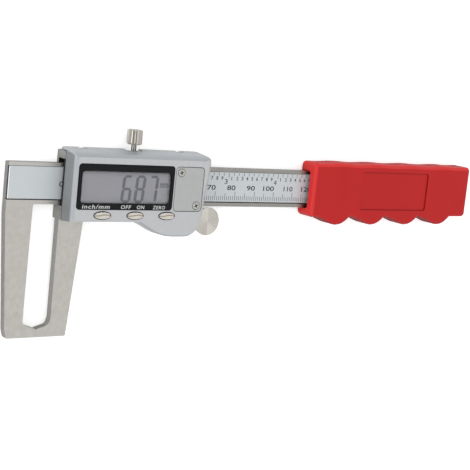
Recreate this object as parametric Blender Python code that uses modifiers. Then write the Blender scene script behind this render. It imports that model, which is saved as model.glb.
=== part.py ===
"""Digital brake disc micrometer: a steel beam with a long fixed jaw and a moulded grip, and a slider
that carries the moving jaw, the display housing, the thumb roller and the lock screw.

The tool lies on its back. X runs along the beam towards the grip, Y runs from the jaw tips up to
the lock screw, and Z points out of the display. Sizes are counted from the scale's zero (X), the
beam's centreline (Y) and the beam's front face (Z); the "datum" empty moves that point so that the
origin lies under the middle of the whole tool.
"""

import math

import bmesh
import bpy
from mathutils import Matrix, Vector

MM = 0.001

# Clearances
FIT = 0.3 * MM  # between pieces that seat on or pass each other
SNUG = 0.2 * MM  # round the panels let into the housing's face

# Beam and fixed jaw
BEAM_HEIGHT = 16.0 * MM
BEAM_THICKNESS = 3.5 * MM
BEAM_LEFT = -23.45 * MM
JAW_REACH = 60.1 * MM
THROAT_LEFT = -12.4 * MM
THROAT_TAPER = 0.55 * MM
FIXED_JAW_FOOT = 3.15 * MM
FIXED_JAW_SHOULDER = 4.0 * MM
TIP_PLANE = -7.0 * MM
TIP_GAP = 0.3 * MM
TIP_HEIGHT = 3.2 * MM
TIP_SLOPE = 2.1 * MM
NOSE_RADIUS = 2.2 * MM
JAW_CORNER = 1.0 * MM
EDGE_BREAK = 0.4 * MM

# Scale strip, in a channel along the beam's front
SCALE_TOP = 6.3 * MM
SCALE_HEIGHT = 11.9 * MM
SCALE_THICKNESS = 0.6 * MM
SCALE_LOWER_GROOVE = 0.8 * MM
SCALE_INTO_GRIP = 11.0 * MM

# Moving jaw and slider frame
SLIDER_LEFT = -1.1 * MM
FRAME_LENGTH = 61.1 * MM
RAIL_HEIGHTS = (3.05 * MM, 5.45 * MM)  # over the gib, and under the beam
FRAME_FRONT = 1.6 * MM
BACK = 5.4 * MM
GIB_THICKNESS = 1.2 * MM
GIB_INSET = 4.0 * MM
MOVING_JAW_WIDTH = 10.7 * MM
MOVING_JAW_FOOT = 6.85 * MM
MOVING_TIP_RISE = 7.4 * MM
MOVING_TIP_STEP = 0.85 * MM
MOVING_TIP_MIDDLE = 4.7 * MM

# Housing
COVER_OVERHANG = 1.0 * MM  # past the frame's right end
COVER_FACE = 9.8 * MM
SKIRT_WALL = 1.15 * MM  # over the frame's upper edge
COVER_DRAFT = 0.1
COVER_WALL = 1.2 * MM
COVER_FRONT_WALL = 1.8 * MM
COVER_CORNER = 1.0 * MM
COVER_EDGE = 0.9 * MM
SKIRT_REACH = 2.3 * MM
TOP_BEVEL = (1.35 * MM, 3.6 * MM)  # how far it comes in, and over what depth
RIGHT_BEVEL = (1.8 * MM, 1.8 * MM)
LEFT_BEVEL = (1.5 * MM, 1.5 * MM)
LOWER_BEVEL = (0.6 * MM, 0.9 * MM)
WAIST = 1.7 * MM
THUMB_REST_STARTS = 33.5 * MM  # from the housing's right edge
THUMB_REST_FLAT = (16.0 * MM, 10.5 * MM)  # from the housing's right edge
THUMB_REST_DROP = 19.0 * MM
THUMB_REST_THICKNESS = 4.9 * MM
BOSS_RADIUS = 1.6 * MM
BOSS_DEPTH = 5.0 * MM
HOUSING_SCREW_INSETS = (4.2 * MM, 4.5 * MM)  # from the frame's left and right ends
HOUSING_SCREW_RISES = (1.75 * MM, 2.75 * MM)  # from the frame's upper and lower edges
HOUSING_SCREW_RADIUS = 0.7 * MM
HOUSING_SCREW_HEAD = (1.2 * MM, 0.8 * MM)
HOUSING_SCREW_LENGTH = 10.6 * MM

# Display
BEZEL_INSET = 1.9 * MM
BEZEL_TO_BATTERY = 0.9 * MM
BEZEL_TOP = 9.2 * MM
BEZEL_HEIGHT = 17.4 * MM
BEZEL_THICKNESS = 0.7 * MM
BEZEL_PROUD = 0.1 * MM
BEZEL_CORNER = 1.2 * MM
WINDOW_MARGINS = (1.4 * MM, 1.2 * MM, 2.6 * MM, 2.3 * MM)  # left, right, top, bottom of the bezel
WINDOW_CORNER = 0.9 * MM
LENS_LAP = 0.7 * MM
LENS_THICKNESS = 0.5 * MM
LCD_THICKNESS = 2.0 * MM
CONNECTOR_WIDTH = 1.8 * MM

# Electronics
SENSOR_INSETS = (0.4 * MM, 3.0 * MM)
SENSOR_THICKNESS = 1.0 * MM
SENSOR_TO_SCALE = 0.4 * MM
BOARD_THICKNESS = 1.0 * MM
BOARD_INSETS = (7.1 * MM, 7.6 * MM)
BOARD_TO_WALL = 0.67 * MM
BOARD_SCREW_RADIUS = 0.5 * MM
BOARD_SCREW_HEAD = (0.9 * MM, 0.5 * MM)
BOARD_SCREW_GRIP = 2.2 * MM
BOARD_SCREW_INSETS = (6.0 * MM, 3.8 * MM)  # from the board's left and right ends
BOARD_SCREW_RISES = (0.55 * MM, 1.1 * MM)  # from its upper and lower edges
CHIP = (15.0 * MM, 0.9 * MM, 7.0 * MM, 0.9 * MM)  # from the board's left, middle Y, side, height

# Buttons
BUTTON_NAMES = ("unit", "power", "zero")
BUTTON_INSETS = (11.5 * MM, 1.9 * MM)  # first and last key from the bezel's ends
BUTTON_SIZE = (7.1 * MM, 2.7 * MM)
BUTTON_GAP = 0.35 * MM
BUTTON_PROUD = 0.4 * MM
BUTTON_EDGE = 0.25 * MM
BUTTON_TRAVEL = 0.5 * MM
BUTTON_FLANGE = (1.0 * MM, 0.7 * MM)
BUTTON_STEM_RADIUS = 0.9 * MM
PAD_THICKNESS = 0.8 * MM
PAD_HEIGHT = 3.0 * MM
DOME_RADIUS = 1.2 * MM

# Battery
BATTERY_COVER_INSET = 3.9 * MM  # from the housing's right edge
BATTERY_COVER_LENGTH = 13.0 * MM
BATTERY_COVER_TOP = 9.04 * MM
BATTERY_COVER_HEIGHT = 17.54 * MM
BATTERY_COVER_THICKNESS = 1.0 * MM
BATTERY_COVER_CORNER = 1.3 * MM
BATTERY_SCREW_INSET = (2.4 * MM, 2.2 * MM)
BATTERY_SCREW_RADIUS = 0.8 * MM
BATTERY_SCREW_HEAD = (1.5 * MM, 0.45 * MM)
BATTERY_SCREW_PROUD = 0.1 * MM
BATTERY_SCREW_LENGTH = 4.0 * MM
BATTERY_POST_RADIUS = 1.5 * MM
CELL_RADIUS = 5.8 * MM
CELL_HEIGHT = 4.2 * MM
CONTACT_THICKNESS = 0.3 * MM
CONTACT_WIDTH = 3.0 * MM

# Screws along the slider's upper edge, all in one plane over the gib
SCREW_LINE = -0.6 * MM
GIB_SCREW_RADIUS = 1.0 * MM
GIB_SCREW_LENGTH = 2.3 * MM
GIB_SCREW_INSETS = (8.0 * MM, 9.1 * MM)
LOCK_INSET = 30.4 * MM  # from the frame's right end
LOCK_SHANK_RADIUS = 1.05 * MM
LOCK_HEAD_RADIUS = 3.4 * MM
LOCK_HEAD_BOTTOM = 16.3 * MM
LOCK_HEAD_HEIGHT = 5.9 * MM
LOCK_RIDGES = 14
LOCK_RIDGE_DEPTH = 0.5 * MM
LOCK_CHAMFER = 0.5 * MM
LOCK_RECESS_RADIUS = 3.6 * MM
LOCK_RECESS_FLOOR = 13.7 * MM
LENS_BELOW_BEZEL = 0.1 * MM
PANEL_GAP = 0.25 * MM  # round the battery cover
ACCESS_RIM = (0.55 * MM, 0.4 * MM)  # wider and deeper than the gib screws' access holes

# Thumb roller
ROLLER_TO_FRAME = 0.9 * MM
ROLLER_RADIUS = 5.9 * MM
ROLLER_FACE = 1.2 * MM
ROLLER_RIM = 1.4 * MM
ROLLER_TAPER = 0.2 * MM
ROLLER_CHAMFER = 0.35 * MM
ROLLER_HUB_RADIUS = 3.2 * MM
ROLLER_HUB = 1.6 * MM
AXLE_RADIUS = 1.3 * MM
LUG_RADIUS = 3.4 * MM
LUG_THICKNESS = 3.2 * MM
LUG_ROOT = 12.0 * MM

# Grip
GRIP_LEFT = 117.5 * MM
GRIP_END = 9.5 * MM
GRIP_FRONT = 5.0 * MM
GRIP_TOP = 12.3 * MM
GRIP_RISE = 0.4 * MM
GRIP_BOTTOM_LEFT = 11.3 * MM
GRIP_BOTTOM_RIGHT = 10.8 * MM
GRIP_HEEL = 0.3 * MM
GRIP_EDGE = 1.5 * MM
GRIP_CORNER = 1.9 * MM
WAVE = 0.2 * MM
LOBES = 4
LOBE_FIRST = 2.5 * MM
LOBE_PITCH = 20.25 * MM
LOBE_DEPTH = 3.7 * MM
LOBE_CREST = 0.63
PANEL_LEFT = 27.4 * MM
PANEL_LENGTH = 39.2 * MM
PANEL_TOP = 9.0 * MM
PANEL_HEIGHT = 17.1 * MM
PANEL_DEPTH = 1.0 * MM
PANEL_CORNER = 2.2 * MM
MOUTH_DEPTH = 10.0 * MM
MOUTH_FRONT = 1.6 * MM
GRIP_END_WALL = 2.6 * MM
GRIP_SCREW_INSET = 2.2 * MM  # from the tang's end
GRIP_SCREW_RADIUS = 1.25 * MM
GRIP_SCREW_LENGTH = 3.0 * MM

# Places that follow from the sizes
BEAM_HALF = BEAM_HEIGHT / 2
GRIP_RIGHT = GRIP_LEFT + LOBE_FIRST + LOBES * LOBE_PITCH + GRIP_END
TANG_END = GRIP_RIGHT - GRIP_END_WALL
GUIDE_TOP = BEAM_HALF + FIT + GIB_THICKNESS + FIT
GUIDE_BOTTOM = -BEAM_HALF - FIT
GUIDE_BACK = -BEAM_THICKNESS - FIT
FRAME_TOP = GUIDE_TOP + RAIL_HEIGHTS[0]
FRAME_BOTTOM = RAIL_HEIGHTS[1] - GUIDE_BOTTOM
FRAME_RIGHT = SLIDER_LEFT + FRAME_LENGTH
COVER_HALF_HEIGHT = FRAME_TOP + FIT + SKIRT_WALL
COVER_RIGHT = FRAME_RIGHT + COVER_OVERHANG
COVER_REAR = FRAME_FRONT + FIT
COVER_INNER_FACE = COVER_FACE - COVER_FRONT_WALL
INNER_HALF_HEIGHT = COVER_HALF_HEIGHT - COVER_DRAFT * (COVER_INNER_FACE + SKIRT_REACH) - COVER_WALL
BEZEL_FACE = COVER_FACE + BEZEL_PROUD
BEZEL_BACK = BEZEL_FACE - BEZEL_THICKNESS
LEDGE = BEZEL_BACK - FIT
LENS_BACK = LEDGE - LENS_THICKNESS
LCD_FACE = LENS_BACK - SNUG
LCD_BACK = LCD_FACE - LCD_THICKNESS
BOARD_BACK = COVER_REAR
BOARD_FACE = BOARD_BACK + BOARD_THICKNESS
CELL_BACK = BOARD_FACE + FIT + CONTACT_THICKNESS + FIT
CELL_FACE = CELL_BACK + CELL_HEIGHT
BATTERY_LEDGE = COVER_FACE - BATTERY_COVER_THICKNESS - FIT
BATTERY_BACK = COVER_FACE - BATTERY_COVER_THICKNESS
BATTERY_RIGHT = COVER_RIGHT - BATTERY_COVER_INSET
BATTERY_LEFT = BATTERY_RIGHT - BATTERY_COVER_LENGTH
BATTERY_X = (BATTERY_LEFT + BATTERY_RIGHT) / 2
BATTERY_Y = BATTERY_COVER_TOP - BATTERY_COVER_HEIGHT / 2
BEZEL_LEFT = SLIDER_LEFT + BEZEL_INSET
BEZEL_RIGHT = BATTERY_LEFT - BEZEL_TO_BATTERY
BEZEL_BOTTOM = BEZEL_TOP - BEZEL_HEIGHT
BOARD_LEFT = SLIDER_LEFT + BOARD_INSETS[0]
BOARD_RIGHT = FRAME_RIGHT - BOARD_INSETS[1]
BOARD_HALF_HEIGHT = INNER_HALF_HEIGHT - BOARD_TO_WALL
BUTTON_Y = -INNER_HALF_HEIGHT + SNUG + BUTTON_SIZE[1] / 2
GIB_SCREW_X = (SLIDER_LEFT + GIB_SCREW_INSETS[0], FRAME_RIGHT - GIB_SCREW_INSETS[1])
LOCK_X = FRAME_RIGHT - LOCK_INSET
ROLLER_X = FRAME_RIGHT + ROLLER_TO_FRAME + ROLLER_RADIUS
ROLLER_Y = -BEAM_HALF - FIT - ROLLER_RADIUS
TOOL_TOP = LOCK_HEAD_BOTTOM + LOCK_HEAD_HEIGHT
CENTRE = Vector(((BEAM_LEFT + GRIP_RIGHT) / 2, (TOOL_TOP - JAW_REACH) / 2, -BACK))


def clear_scene():
    """Remove the objects that a new file starts with."""
    for thing in list(bpy.data.objects):
        bpy.data.objects.remove(thing, do_unlink=True)


def new_collection(name):
    collection = bpy.data.collections.new(name)
    bpy.context.scene.collection.children.link(collection)
    return collection


def add_empty(name, location=(0, 0, 0), parent=None):
    """An axis or a carrier that pieces hang from."""
    empty = bpy.data.objects.new(name, None)
    empty.empty_display_size = 5 * MM
    empty.location = location
    empty.parent = parent
    PARTS.objects.link(empty)
    return empty


def material(name, colour, roughness, metallic=0.0, alpha=1.0):
    made = bpy.data.materials.new(name)
    made.use_nodes = True
    shader = made.node_tree.nodes["Principled BSDF"]
    shader.inputs["Base Color"].default_value = (*colour, 1.0)
    shader.inputs["Roughness"].default_value = roughness
    shader.inputs["Metallic"].default_value = metallic
    shader.inputs["Alpha"].default_value = alpha
    made.diffuse_color = (*colour, alpha)
    return made


def finish(thing, finish_material, parent):
    """Give a piece its material and its carrier, and put it among the parts."""
    thing.data.materials.clear()
    thing.data.materials.append(finish_material)
    thing.parent = parent
    for collection in list(thing.users_collection):
        collection.objects.unlink(thing)
    PARTS.objects.link(thing)
    return thing


def as_cutter(thing):
    """Turn a shape into a hidden tool for Booleans."""
    thing.hide_render = True
    thing.display_type = "WIRE"
    thing.parent = DATUM
    for collection in list(thing.users_collection):
        collection.objects.unlink(thing)
    CUTTERS.objects.link(thing)
    return thing


def combine(target, tool, operation):
    modifier = target.modifiers.new(tool.name, "BOOLEAN")
    modifier.operation = operation
    modifier.object = as_cutter(tool)
    return target


def cut(target, *tools):
    for tool in tools:
        combine(target, tool, "DIFFERENCE")
    return target


def join(target, *tools):
    for tool in tools:
        combine(target, tool, "UNION")
    return target


def rounded(corners, segments=4):
    """Points of a closed outline whose (x, y, radius) corners are turned into arcs."""
    points = []
    for index, (x, y, radius) in enumerate(corners):
        here = Vector((x, y))
        if radius == 0:
            points.append((x, y))
            continue
        following = corners[(index + 1) % len(corners)]
        to_last = (Vector(corners[index - 1][:2]) - here).normalized()
        to_next = (Vector(following[:2]) - here).normalized()
        half_angle = to_last.angle(to_next) / 2
        centre = here + (to_last + to_next).normalized() * radius / math.sin(half_angle)
        first = here + to_last * radius / math.tan(half_angle) - centre
        last = here + to_next * radius / math.tan(half_angle) - centre
        start = math.atan2(first.y, first.x)
        sweep = math.atan2(last.y, last.x) - start
        sweep = (sweep + math.pi) % (2 * math.pi) - math.pi
        for step in range(segments + 1):
            angle = start + sweep * step / segments
            points.append((centre.x + radius * math.cos(angle), centre.y + radius * math.sin(angle)))
    return points


def bezier(start, leave, arrive, end, segments):
    """Points along one cubic curve, without its end."""
    points = []
    for step in range(segments):
        t = step / segments
        weights = ((1 - t) ** 3, 3 * t * (1 - t) ** 2, 3 * t * t * (1 - t), t**3)
        points.append(tuple(sum(w * p[axis] for w, p in zip(weights, (start, leave, arrive, end)))
                            for axis in range(2)))
    return points


def rectangle(left, bottom, right, top, radius):
    return rounded([(left, bottom, radius), (right, bottom, radius), (right, top, radius),
                    (left, top, radius)])


def oval(centre_x, centre_y, length, height, count=32):
    """An ellipse."""
    return [(centre_x + length / 2 * math.cos(2 * math.pi * k / count),
             centre_y + height / 2 * math.sin(2 * math.pi * k / count)) for k in range(count)]


def circle(centre_x, centre_y, radius, count=32):
    return [(centre_x + radius * math.cos(2 * math.pi * k / count),
             centre_y + radius * math.sin(2 * math.pi * k / count)) for k in range(count)]


def plate(name, outlines, low, high, axis="Z", edge=0.0):
    """A flat 2D curve, with holes, made thick from low to high along an axis and turned into a mesh.

    Its outline is in X and Y for axis Z, in Y and Z for axis X, and in X and Z for axis Y.
    """
    data = bpy.data.curves.new(name, "CURVE")
    data.dimensions = "2D"
    data.fill_mode = "BOTH"
    data.extrude = (high - low) / 2 - edge
    data.bevel_depth = edge
    data.bevel_resolution = 2
    data.offset = -edge
    for outline in outlines:
        spline = data.splines.new("POLY")
        spline.points.add(len(outline) - 1)
        for point, (x, y) in zip(spline.points, outline):
            point.co = (x, y, 0, 1)
        spline.use_cyclic_u = True
    drawn = bpy.data.objects.new(name + "_outline", data)
    bpy.context.scene.collection.objects.link(drawn)
    depsgraph = bpy.context.evaluated_depsgraph_get()
    mesh = bpy.data.meshes.new_from_object(drawn.evaluated_get(depsgraph))
    mesh.name = name
    bpy.data.objects.remove(drawn, do_unlink=True)
    solid = bmesh.new()
    solid.from_mesh(mesh)
    bmesh.ops.remove_doubles(solid, verts=solid.verts, dist=0.001 * MM)
    bmesh.ops.recalc_face_normals(solid, faces=solid.faces)
    solid.to_mesh(mesh)
    solid.free()
    middle = (low + high) / 2
    turns = {
        "Z": Matrix.Translation((0, 0, middle)),
        "X": Matrix(((0, 0, 1, middle), (1, 0, 0, 0), (0, 1, 0, 0), (0, 0, 0, 1))),
        "Y": Matrix(((1, 0, 0, 0), (0, 0, -1, middle), (0, 1, 0, 0), (0, 0, 0, 1))),
    }
    mesh.transform(turns[axis])
    made = bpy.data.objects.new(name, mesh)
    bpy.context.scene.collection.objects.link(made)
    return made


def box(name, low, high):
    """A block between two corners."""
    low = Vector(low)
    high = Vector(high)
    bpy.ops.mesh.primitive_cube_add(size=1, location=(0, 0, 0))
    made = bpy.context.object
    made.name = name
    made.data.name = name
    size = high - low
    made.data.transform(Matrix.Translation((low + high) / 2) @ Matrix.Diagonal((*size, 1)))
    return made


def rod(name, radius, start, end, vertices=24):
    """A round bar between two points."""
    start = Vector(start)
    end = Vector(end)
    length = (end - start).length
    bpy.ops.mesh.primitive_cylinder_add(vertices=vertices, radius=radius, depth=length)
    made = bpy.context.object
    made.name = name
    made.data.name = name
    turn = Vector((0, 0, 1)).rotation_difference(end - start).to_matrix().to_4x4()
    made.data.transform(Matrix.Translation((start + end) / 2) @ turn)
    return made


def turned(name, profile, location, axis="Z", steps=32):
    """A profile of (radius, height), from the top down its outer side, spun round an axis."""
    mesh = bpy.data.meshes.new(name)
    points = [(radius, 0, height) for radius, height in profile]
    edges = [(k, k + 1) for k in range(len(points) - 1)]
    mesh.from_pydata(points, edges, [])
    made = bpy.data.objects.new(name, mesh)
    bpy.context.scene.collection.objects.link(made)
    spin = made.modifiers.new("spin", "SCREW")
    spin.axis = "Z"
    spin.angle = 2 * math.pi
    spin.steps = steps
    spin.render_steps = steps
    spin.use_merge_vertices = True
    spin.merge_threshold = 0.01 * MM
    made.location = location
    if axis == "Y":
        made.rotation_euler = (-math.pi / 2, 0, 0)
    return made


def smooth(thing, angle=35):
    thing.data.shade_smooth()
    thing.data.set_sharp_from_angle(angle=math.radians(angle))
    return thing


def screw(name, head, shank_radius, length, top, parent, finish_material, points_up=True):
    """A cylinder-head screw along Z, whose head's outer face is at top."""
    head_radius, head_height = head
    profile = [(0, 0), (head_radius, 0), (head_radius, -head_height), (shank_radius, -head_height),
               (shank_radius, -length + shank_radius / 2), (shank_radius / 2, -length), (0, -length)]
    made = turned(name, profile, top, steps=20)
    if not points_up:
        made.rotation_euler = (math.pi, 0, 0)
    return finish(made, finish_material, parent)


def make_beam():
    """The beam with its fixed jaw, cut from one plate, with the channel for the scale."""
    tip = TIP_PLANE - TIP_GAP / 2
    outline = rounded([
        (BEAM_LEFT, BEAM_HALF, EDGE_BREAK),
        (BEAM_LEFT, -JAW_REACH / 5, EDGE_BREAK),
        (BEAM_LEFT + FIXED_JAW_FOOT, -JAW_REACH + TIP_HEIGHT, JAW_CORNER),
        (BEAM_LEFT + FIXED_JAW_SHOULDER, -JAW_REACH, JAW_CORNER / 2),
        (tip, -JAW_REACH, 0),
        (tip, -JAW_REACH + TIP_HEIGHT, EDGE_BREAK),
        (THROAT_LEFT - THROAT_TAPER, -JAW_REACH + TIP_HEIGHT + TIP_SLOPE, NOSE_RADIUS),
        (THROAT_LEFT, -BEAM_HALF, 2 * EDGE_BREAK),
        (TANG_END, -BEAM_HALF, 0),
        (TANG_END, BEAM_HALF, 0),
    ])
    beam = plate("beam_with_fixed_jaw", [outline], -BEAM_THICKNESS, 0)
    channel = box("scale_channel",
                  (BEAM_LEFT - FIT, SCALE_TOP - SCALE_HEIGHT - SCALE_LOWER_GROOVE,
                   -SCALE_THICKNESS - FIT),
                  (GRIP_LEFT + SCALE_INTO_GRIP + FIT, SCALE_TOP + FIT, FIT))
    cut(beam, channel)
    finish(beam, STEEL, DATUM)
    strip = box("scale_strip", (BEAM_LEFT + FIT, SCALE_TOP - SCALE_HEIGHT, -SCALE_THICKNESS),
                (GRIP_LEFT + SCALE_INTO_GRIP, SCALE_TOP, 0))
    finish(strip, LABEL, DATUM)


def grip_top(x):
    """Height of the grip's upper edge: a slow rise with a shallow wave above each finger."""
    along = (x - GRIP_LEFT) / (GRIP_RIGHT - GRIP_LEFT)
    phase = (x - GRIP_LEFT - LOBE_FIRST) / LOBE_PITCH - LOBE_CREST
    return GRIP_TOP + GRIP_RISE * along + WAVE * math.cos(2 * math.pi * phase)


def grip_outline():
    """The grip seen from the front, anticlockwise from the lower left."""
    last = GRIP_LEFT + LOBE_FIRST + LOBES * LOBE_PITCH
    heel = -GRIP_BOTTOM_LEFT - GRIP_HEEL
    points = rounded([(GRIP_LEFT, grip_top(GRIP_LEFT), 0), (GRIP_LEFT, heel, GRIP_CORNER),
                      (GRIP_LEFT + LOBE_PITCH, heel, 0)])[1:-1]
    fall = (GRIP_BOTTOM_RIGHT - GRIP_BOTTOM_LEFT) / LOBES
    for lobe in range(LOBES):
        left = GRIP_LEFT + LOBE_FIRST + lobe * LOBE_PITCH
        valley = -GRIP_BOTTOM_LEFT - fall * lobe
        low = valley - LOBE_DEPTH
        crest = (left + LOBE_CREST * LOBE_PITCH, low)
        points += bezier((left, valley), (left + 0.30 * LOBE_PITCH, valley - 0.25 * LOBE_DEPTH),
                         (left + 0.49 * LOBE_PITCH, low), crest, 6)
        points += bezier(crest, (left + 0.77 * LOBE_PITCH, low),
                         (left + 0.89 * LOBE_PITCH, valley - 0.62 * LOBE_DEPTH),
                         (left + LOBE_PITCH, valley - fall), 5)
    points += rounded([(last, -GRIP_BOTTOM_RIGHT, 0), (GRIP_RIGHT, -GRIP_BOTTOM_RIGHT, GRIP_CORNER),
                       (GRIP_RIGHT, grip_top(GRIP_RIGHT), GRIP_CORNER),
                       (last, grip_top(last), 0)])[:-1]
    waves = 6 * LOBES
    for step in range(waves + 1):
        x = last + (GRIP_LEFT + GRIP_CORNER - last) * step / waves
        points.append((x, grip_top(x)))
    points += rounded([(last, grip_top(GRIP_LEFT), 0), (GRIP_LEFT, grip_top(GRIP_LEFT), GRIP_CORNER),
                       (GRIP_LEFT, 0, 0)])[2:-1]
    return points


def make_grip():
    """The moulded grip, with its finger lobes, front panel, beam pocket and set screw hole."""
    grip = plate("handle_grip", [grip_outline()], -BACK, GRIP_FRONT, edge=GRIP_EDGE)
    side = BEAM_HALF + FIT
    pocket = box("tang_pocket", (GRIP_LEFT - FIT, -side, GUIDE_BACK),
                 (TANG_END + FIT, side, FIT))
    mouth = box("pocket_mouth", (GRIP_LEFT - FIT, -side + FIT, 0),
                (GRIP_LEFT + MOUTH_DEPTH, side - FIT, MOUTH_FRONT))
    left = GRIP_LEFT + PANEL_LEFT
    panel = plate("panel_recess", [rectangle(left, PANEL_TOP - PANEL_HEIGHT, left + PANEL_LENGTH,
                                             PANEL_TOP, PANEL_CORNER)],
                  GRIP_FRONT - PANEL_DEPTH, GRIP_FRONT + FIT)
    x = TANG_END - GRIP_SCREW_INSET
    z = -BEAM_THICKNESS / 2
    hole = rod("grip_screw_hole", GRIP_SCREW_RADIUS + FIT, (x, 0, z),
               (x, GRIP_TOP + 5 * FIT, z), 16)
    cut(grip, pocket, mouth, panel, hole)
    finish(smooth(grip), GRIP, DATUM)
    profile = [(0, GRIP_SCREW_LENGTH), (GRIP_SCREW_RADIUS, GRIP_SCREW_LENGTH), (GRIP_SCREW_RADIUS, 0),
               (0, 0)]
    pin = turned("handle_set_screw", profile, (x, BEAM_HALF + FIT, z), "Y", 16)
    finish(pin, DARK_STEEL, DATUM)


def make_frame(slider):
    """The slider's steel frame: a channel round the beam, the moving jaw and the roller's lug."""
    section = [(FRAME_TOP, -BACK), (FRAME_TOP, FRAME_FRONT), (GUIDE_TOP, FRAME_FRONT),
               (GUIDE_TOP, GUIDE_BACK), (GUIDE_BOTTOM, GUIDE_BACK), (GUIDE_BOTTOM, FRAME_FRONT),
               (-FRAME_BOTTOM, FRAME_FRONT), (-FRAME_BOTTOM, -BACK)]
    frame = plate("slider_frame", [section], SLIDER_LEFT, FRAME_RIGHT, "X")
    tip = TIP_PLANE + TIP_GAP / 2
    outer = SLIDER_LEFT + MOVING_JAW_WIDTH
    jaw_outline = rounded([
        (SLIDER_LEFT, GUIDE_BOTTOM - FIT, 0),
        (SLIDER_LEFT, -JAW_REACH + MOVING_TIP_RISE, EDGE_BREAK),
        (SLIDER_LEFT - MOVING_TIP_STEP, -JAW_REACH + MOVING_TIP_MIDDLE, NOSE_RADIUS),
        (tip, -JAW_REACH + TIP_HEIGHT, EDGE_BREAK),
        (tip, -JAW_REACH, 0),
        (SLIDER_LEFT + MOVING_JAW_FOOT, -JAW_REACH, JAW_CORNER / 2),
        (outer, -FRAME_BOTTOM, 0),
        (outer, GUIDE_BOTTOM - FIT, 0),
    ])
    jaw = plate("moving_jaw_plate", [jaw_outline], -BEAM_THICKNESS, 0)
    lug_left = FRAME_RIGHT - LUG_ROOT
    lug_outline = rounded([
        (lug_left, -FRAME_BOTTOM + 2 * FIT, 0),
        (ROLLER_X - LUG_RADIUS, ROLLER_Y - LUG_RADIUS, LUG_RADIUS),
        (ROLLER_X + LUG_RADIUS, ROLLER_Y - LUG_RADIUS, LUG_RADIUS * 0.99),
        (ROLLER_X + LUG_RADIUS, ROLLER_Y + LUG_RADIUS, LUG_RADIUS * 0.99),
        (FRAME_RIGHT, GUIDE_BOTTOM - FIT, 0),
        (lug_left, GUIDE_BOTTOM - FIT, 0),
    ], 5)
    lug = plate("roller_lug", [lug_outline], -BACK, -BACK + LUG_THICKNESS)
    join(frame, jaw, lug)
    for x in GIB_SCREW_X:
        cut(frame, rod("gib_screw_hole", GIB_SCREW_RADIUS + FIT, (x, BEAM_HALF, SCREW_LINE),
                       (x, FRAME_TOP + FIT, SCREW_LINE), 16))
    cut(frame, rod("lock_screw_hole", LOCK_SHANK_RADIUS + FIT, (LOCK_X, BEAM_HALF, SCREW_LINE),
                   (LOCK_X, FRAME_TOP + FIT, SCREW_LINE), 16))
    head_radius, head_height = HOUSING_SCREW_HEAD
    for x, y in housing_screws():
        cut(frame,
            rod("housing_screw_hole", HOUSING_SCREW_RADIUS + FIT, (x, y, -BACK - FIT),
                (x, y, FRAME_FRONT + FIT), 16),
            rod("housing_screw_counterbore", head_radius + FIT, (x, y, -BACK - FIT),
                (x, y, -BACK + head_height + 2 * FIT), 16))
    for x, y in board_screws():
        cut(frame, rod("board_screw_hole", BOARD_SCREW_RADIUS + FIT,
                       (x, y, FRAME_FRONT - BOARD_SCREW_GRIP), (x, y, FRAME_FRONT + FIT), 12))
    cut(frame, rod("axle_hole", AXLE_RADIUS + FIT, (ROLLER_X, ROLLER_Y, -BACK + 2 * FIT),
                   (ROLLER_X, ROLLER_Y, 0), 20))
    finish(frame, STEEL, slider)


def housing_screws():
    """Centres of the four screws that hold the housing to the frame."""
    left, right = HOUSING_SCREW_INSETS
    upper, lower = HOUSING_SCREW_RISES
    return [(x, y) for x in (SLIDER_LEFT + left, FRAME_RIGHT - right)
            for y in (FRAME_TOP - upper, lower - FRAME_BOTTOM)]


def board_screws():
    left, right = BOARD_SCREW_INSETS
    upper, lower = BOARD_SCREW_RISES
    return [(BOARD_LEFT + left, BOARD_HALF_HEIGHT - upper), (BOARD_RIGHT - right, lower - BOARD_HALF_HEIGHT)]


def bevel_at(depth, bevel, fullness=2.0):
    """How far a bevelled edge has come in from its side at a depth."""
    width, height = bevel
    along = max(0.0, (depth - COVER_FACE + height) / height)
    return width * (1 - (1 - along**fullness) ** (1 / fullness)) if along < 1 else width


def cover_section(depth):
    """The housing's outline, anticlockwise, at one depth."""
    drafted = COVER_HALF_HEIGHT - COVER_DRAFT * (depth + SKIRT_REACH)
    top = drafted - bevel_at(depth, TOP_BEVEL, 1.6)
    lower = bevel_at(depth, LOWER_BEVEL)
    bottom = -drafted + lower
    left = SLIDER_LEFT + bevel_at(depth, LEFT_BEVEL)
    right = COVER_RIGHT - bevel_at(depth, RIGHT_BEVEL, 1.6)
    waist = right - WAIST
    low = -THUMB_REST_DROP + lower
    sweep_start = COVER_RIGHT - THUMB_REST_STARTS
    flat_start = COVER_RIGHT - THUMB_REST_FLAT[0]
    flat_end = COVER_RIGHT - THUMB_REST_FLAT[1]
    sweep = flat_start - sweep_start
    hip = (waist - 0.4 * WAIST, bottom + 0.12 * drafted)
    points = [(left, bottom)]
    points += bezier((sweep_start, bottom), (sweep_start + 0.23 * sweep, bottom),
                     (sweep_start + 0.46 * sweep, low), (flat_start, low), 8)
    points += [(flat_start, low)]
    points += bezier((flat_end, low), (hip[0] - 2.4 * WAIST, low),
                     (hip[0] - 0.25 * WAIST, low + 1.5 * WAIST), hip, 8)
    points += bezier(hip, (hip[0] + 0.2 * WAIST, -0.6 * drafted), (waist, -0.5 * drafted),
                     (waist, -0.35 * drafted), 3)
    points += bezier((waist, -0.35 * drafted), (waist, -0.1 * drafted),
                     (right - 0.2 * WAIST, 0.2 * drafted), (right, 0.65 * drafted), 5)
    corner = COVER_CORNER + bevel_at(depth, RIGHT_BEVEL, 1.6)
    points += rounded([(right, 0, 0), (right, top, corner), (left, top, COVER_EDGE),
                       (left, bottom, 0)], 5)[1:-1]
    if depth < COVER_FACE - THUMB_REST_THICKNESS:
        points = [(x, max(y, bottom)) for x, y in points]
    return [(x, y, depth) for x, y in points]


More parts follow.
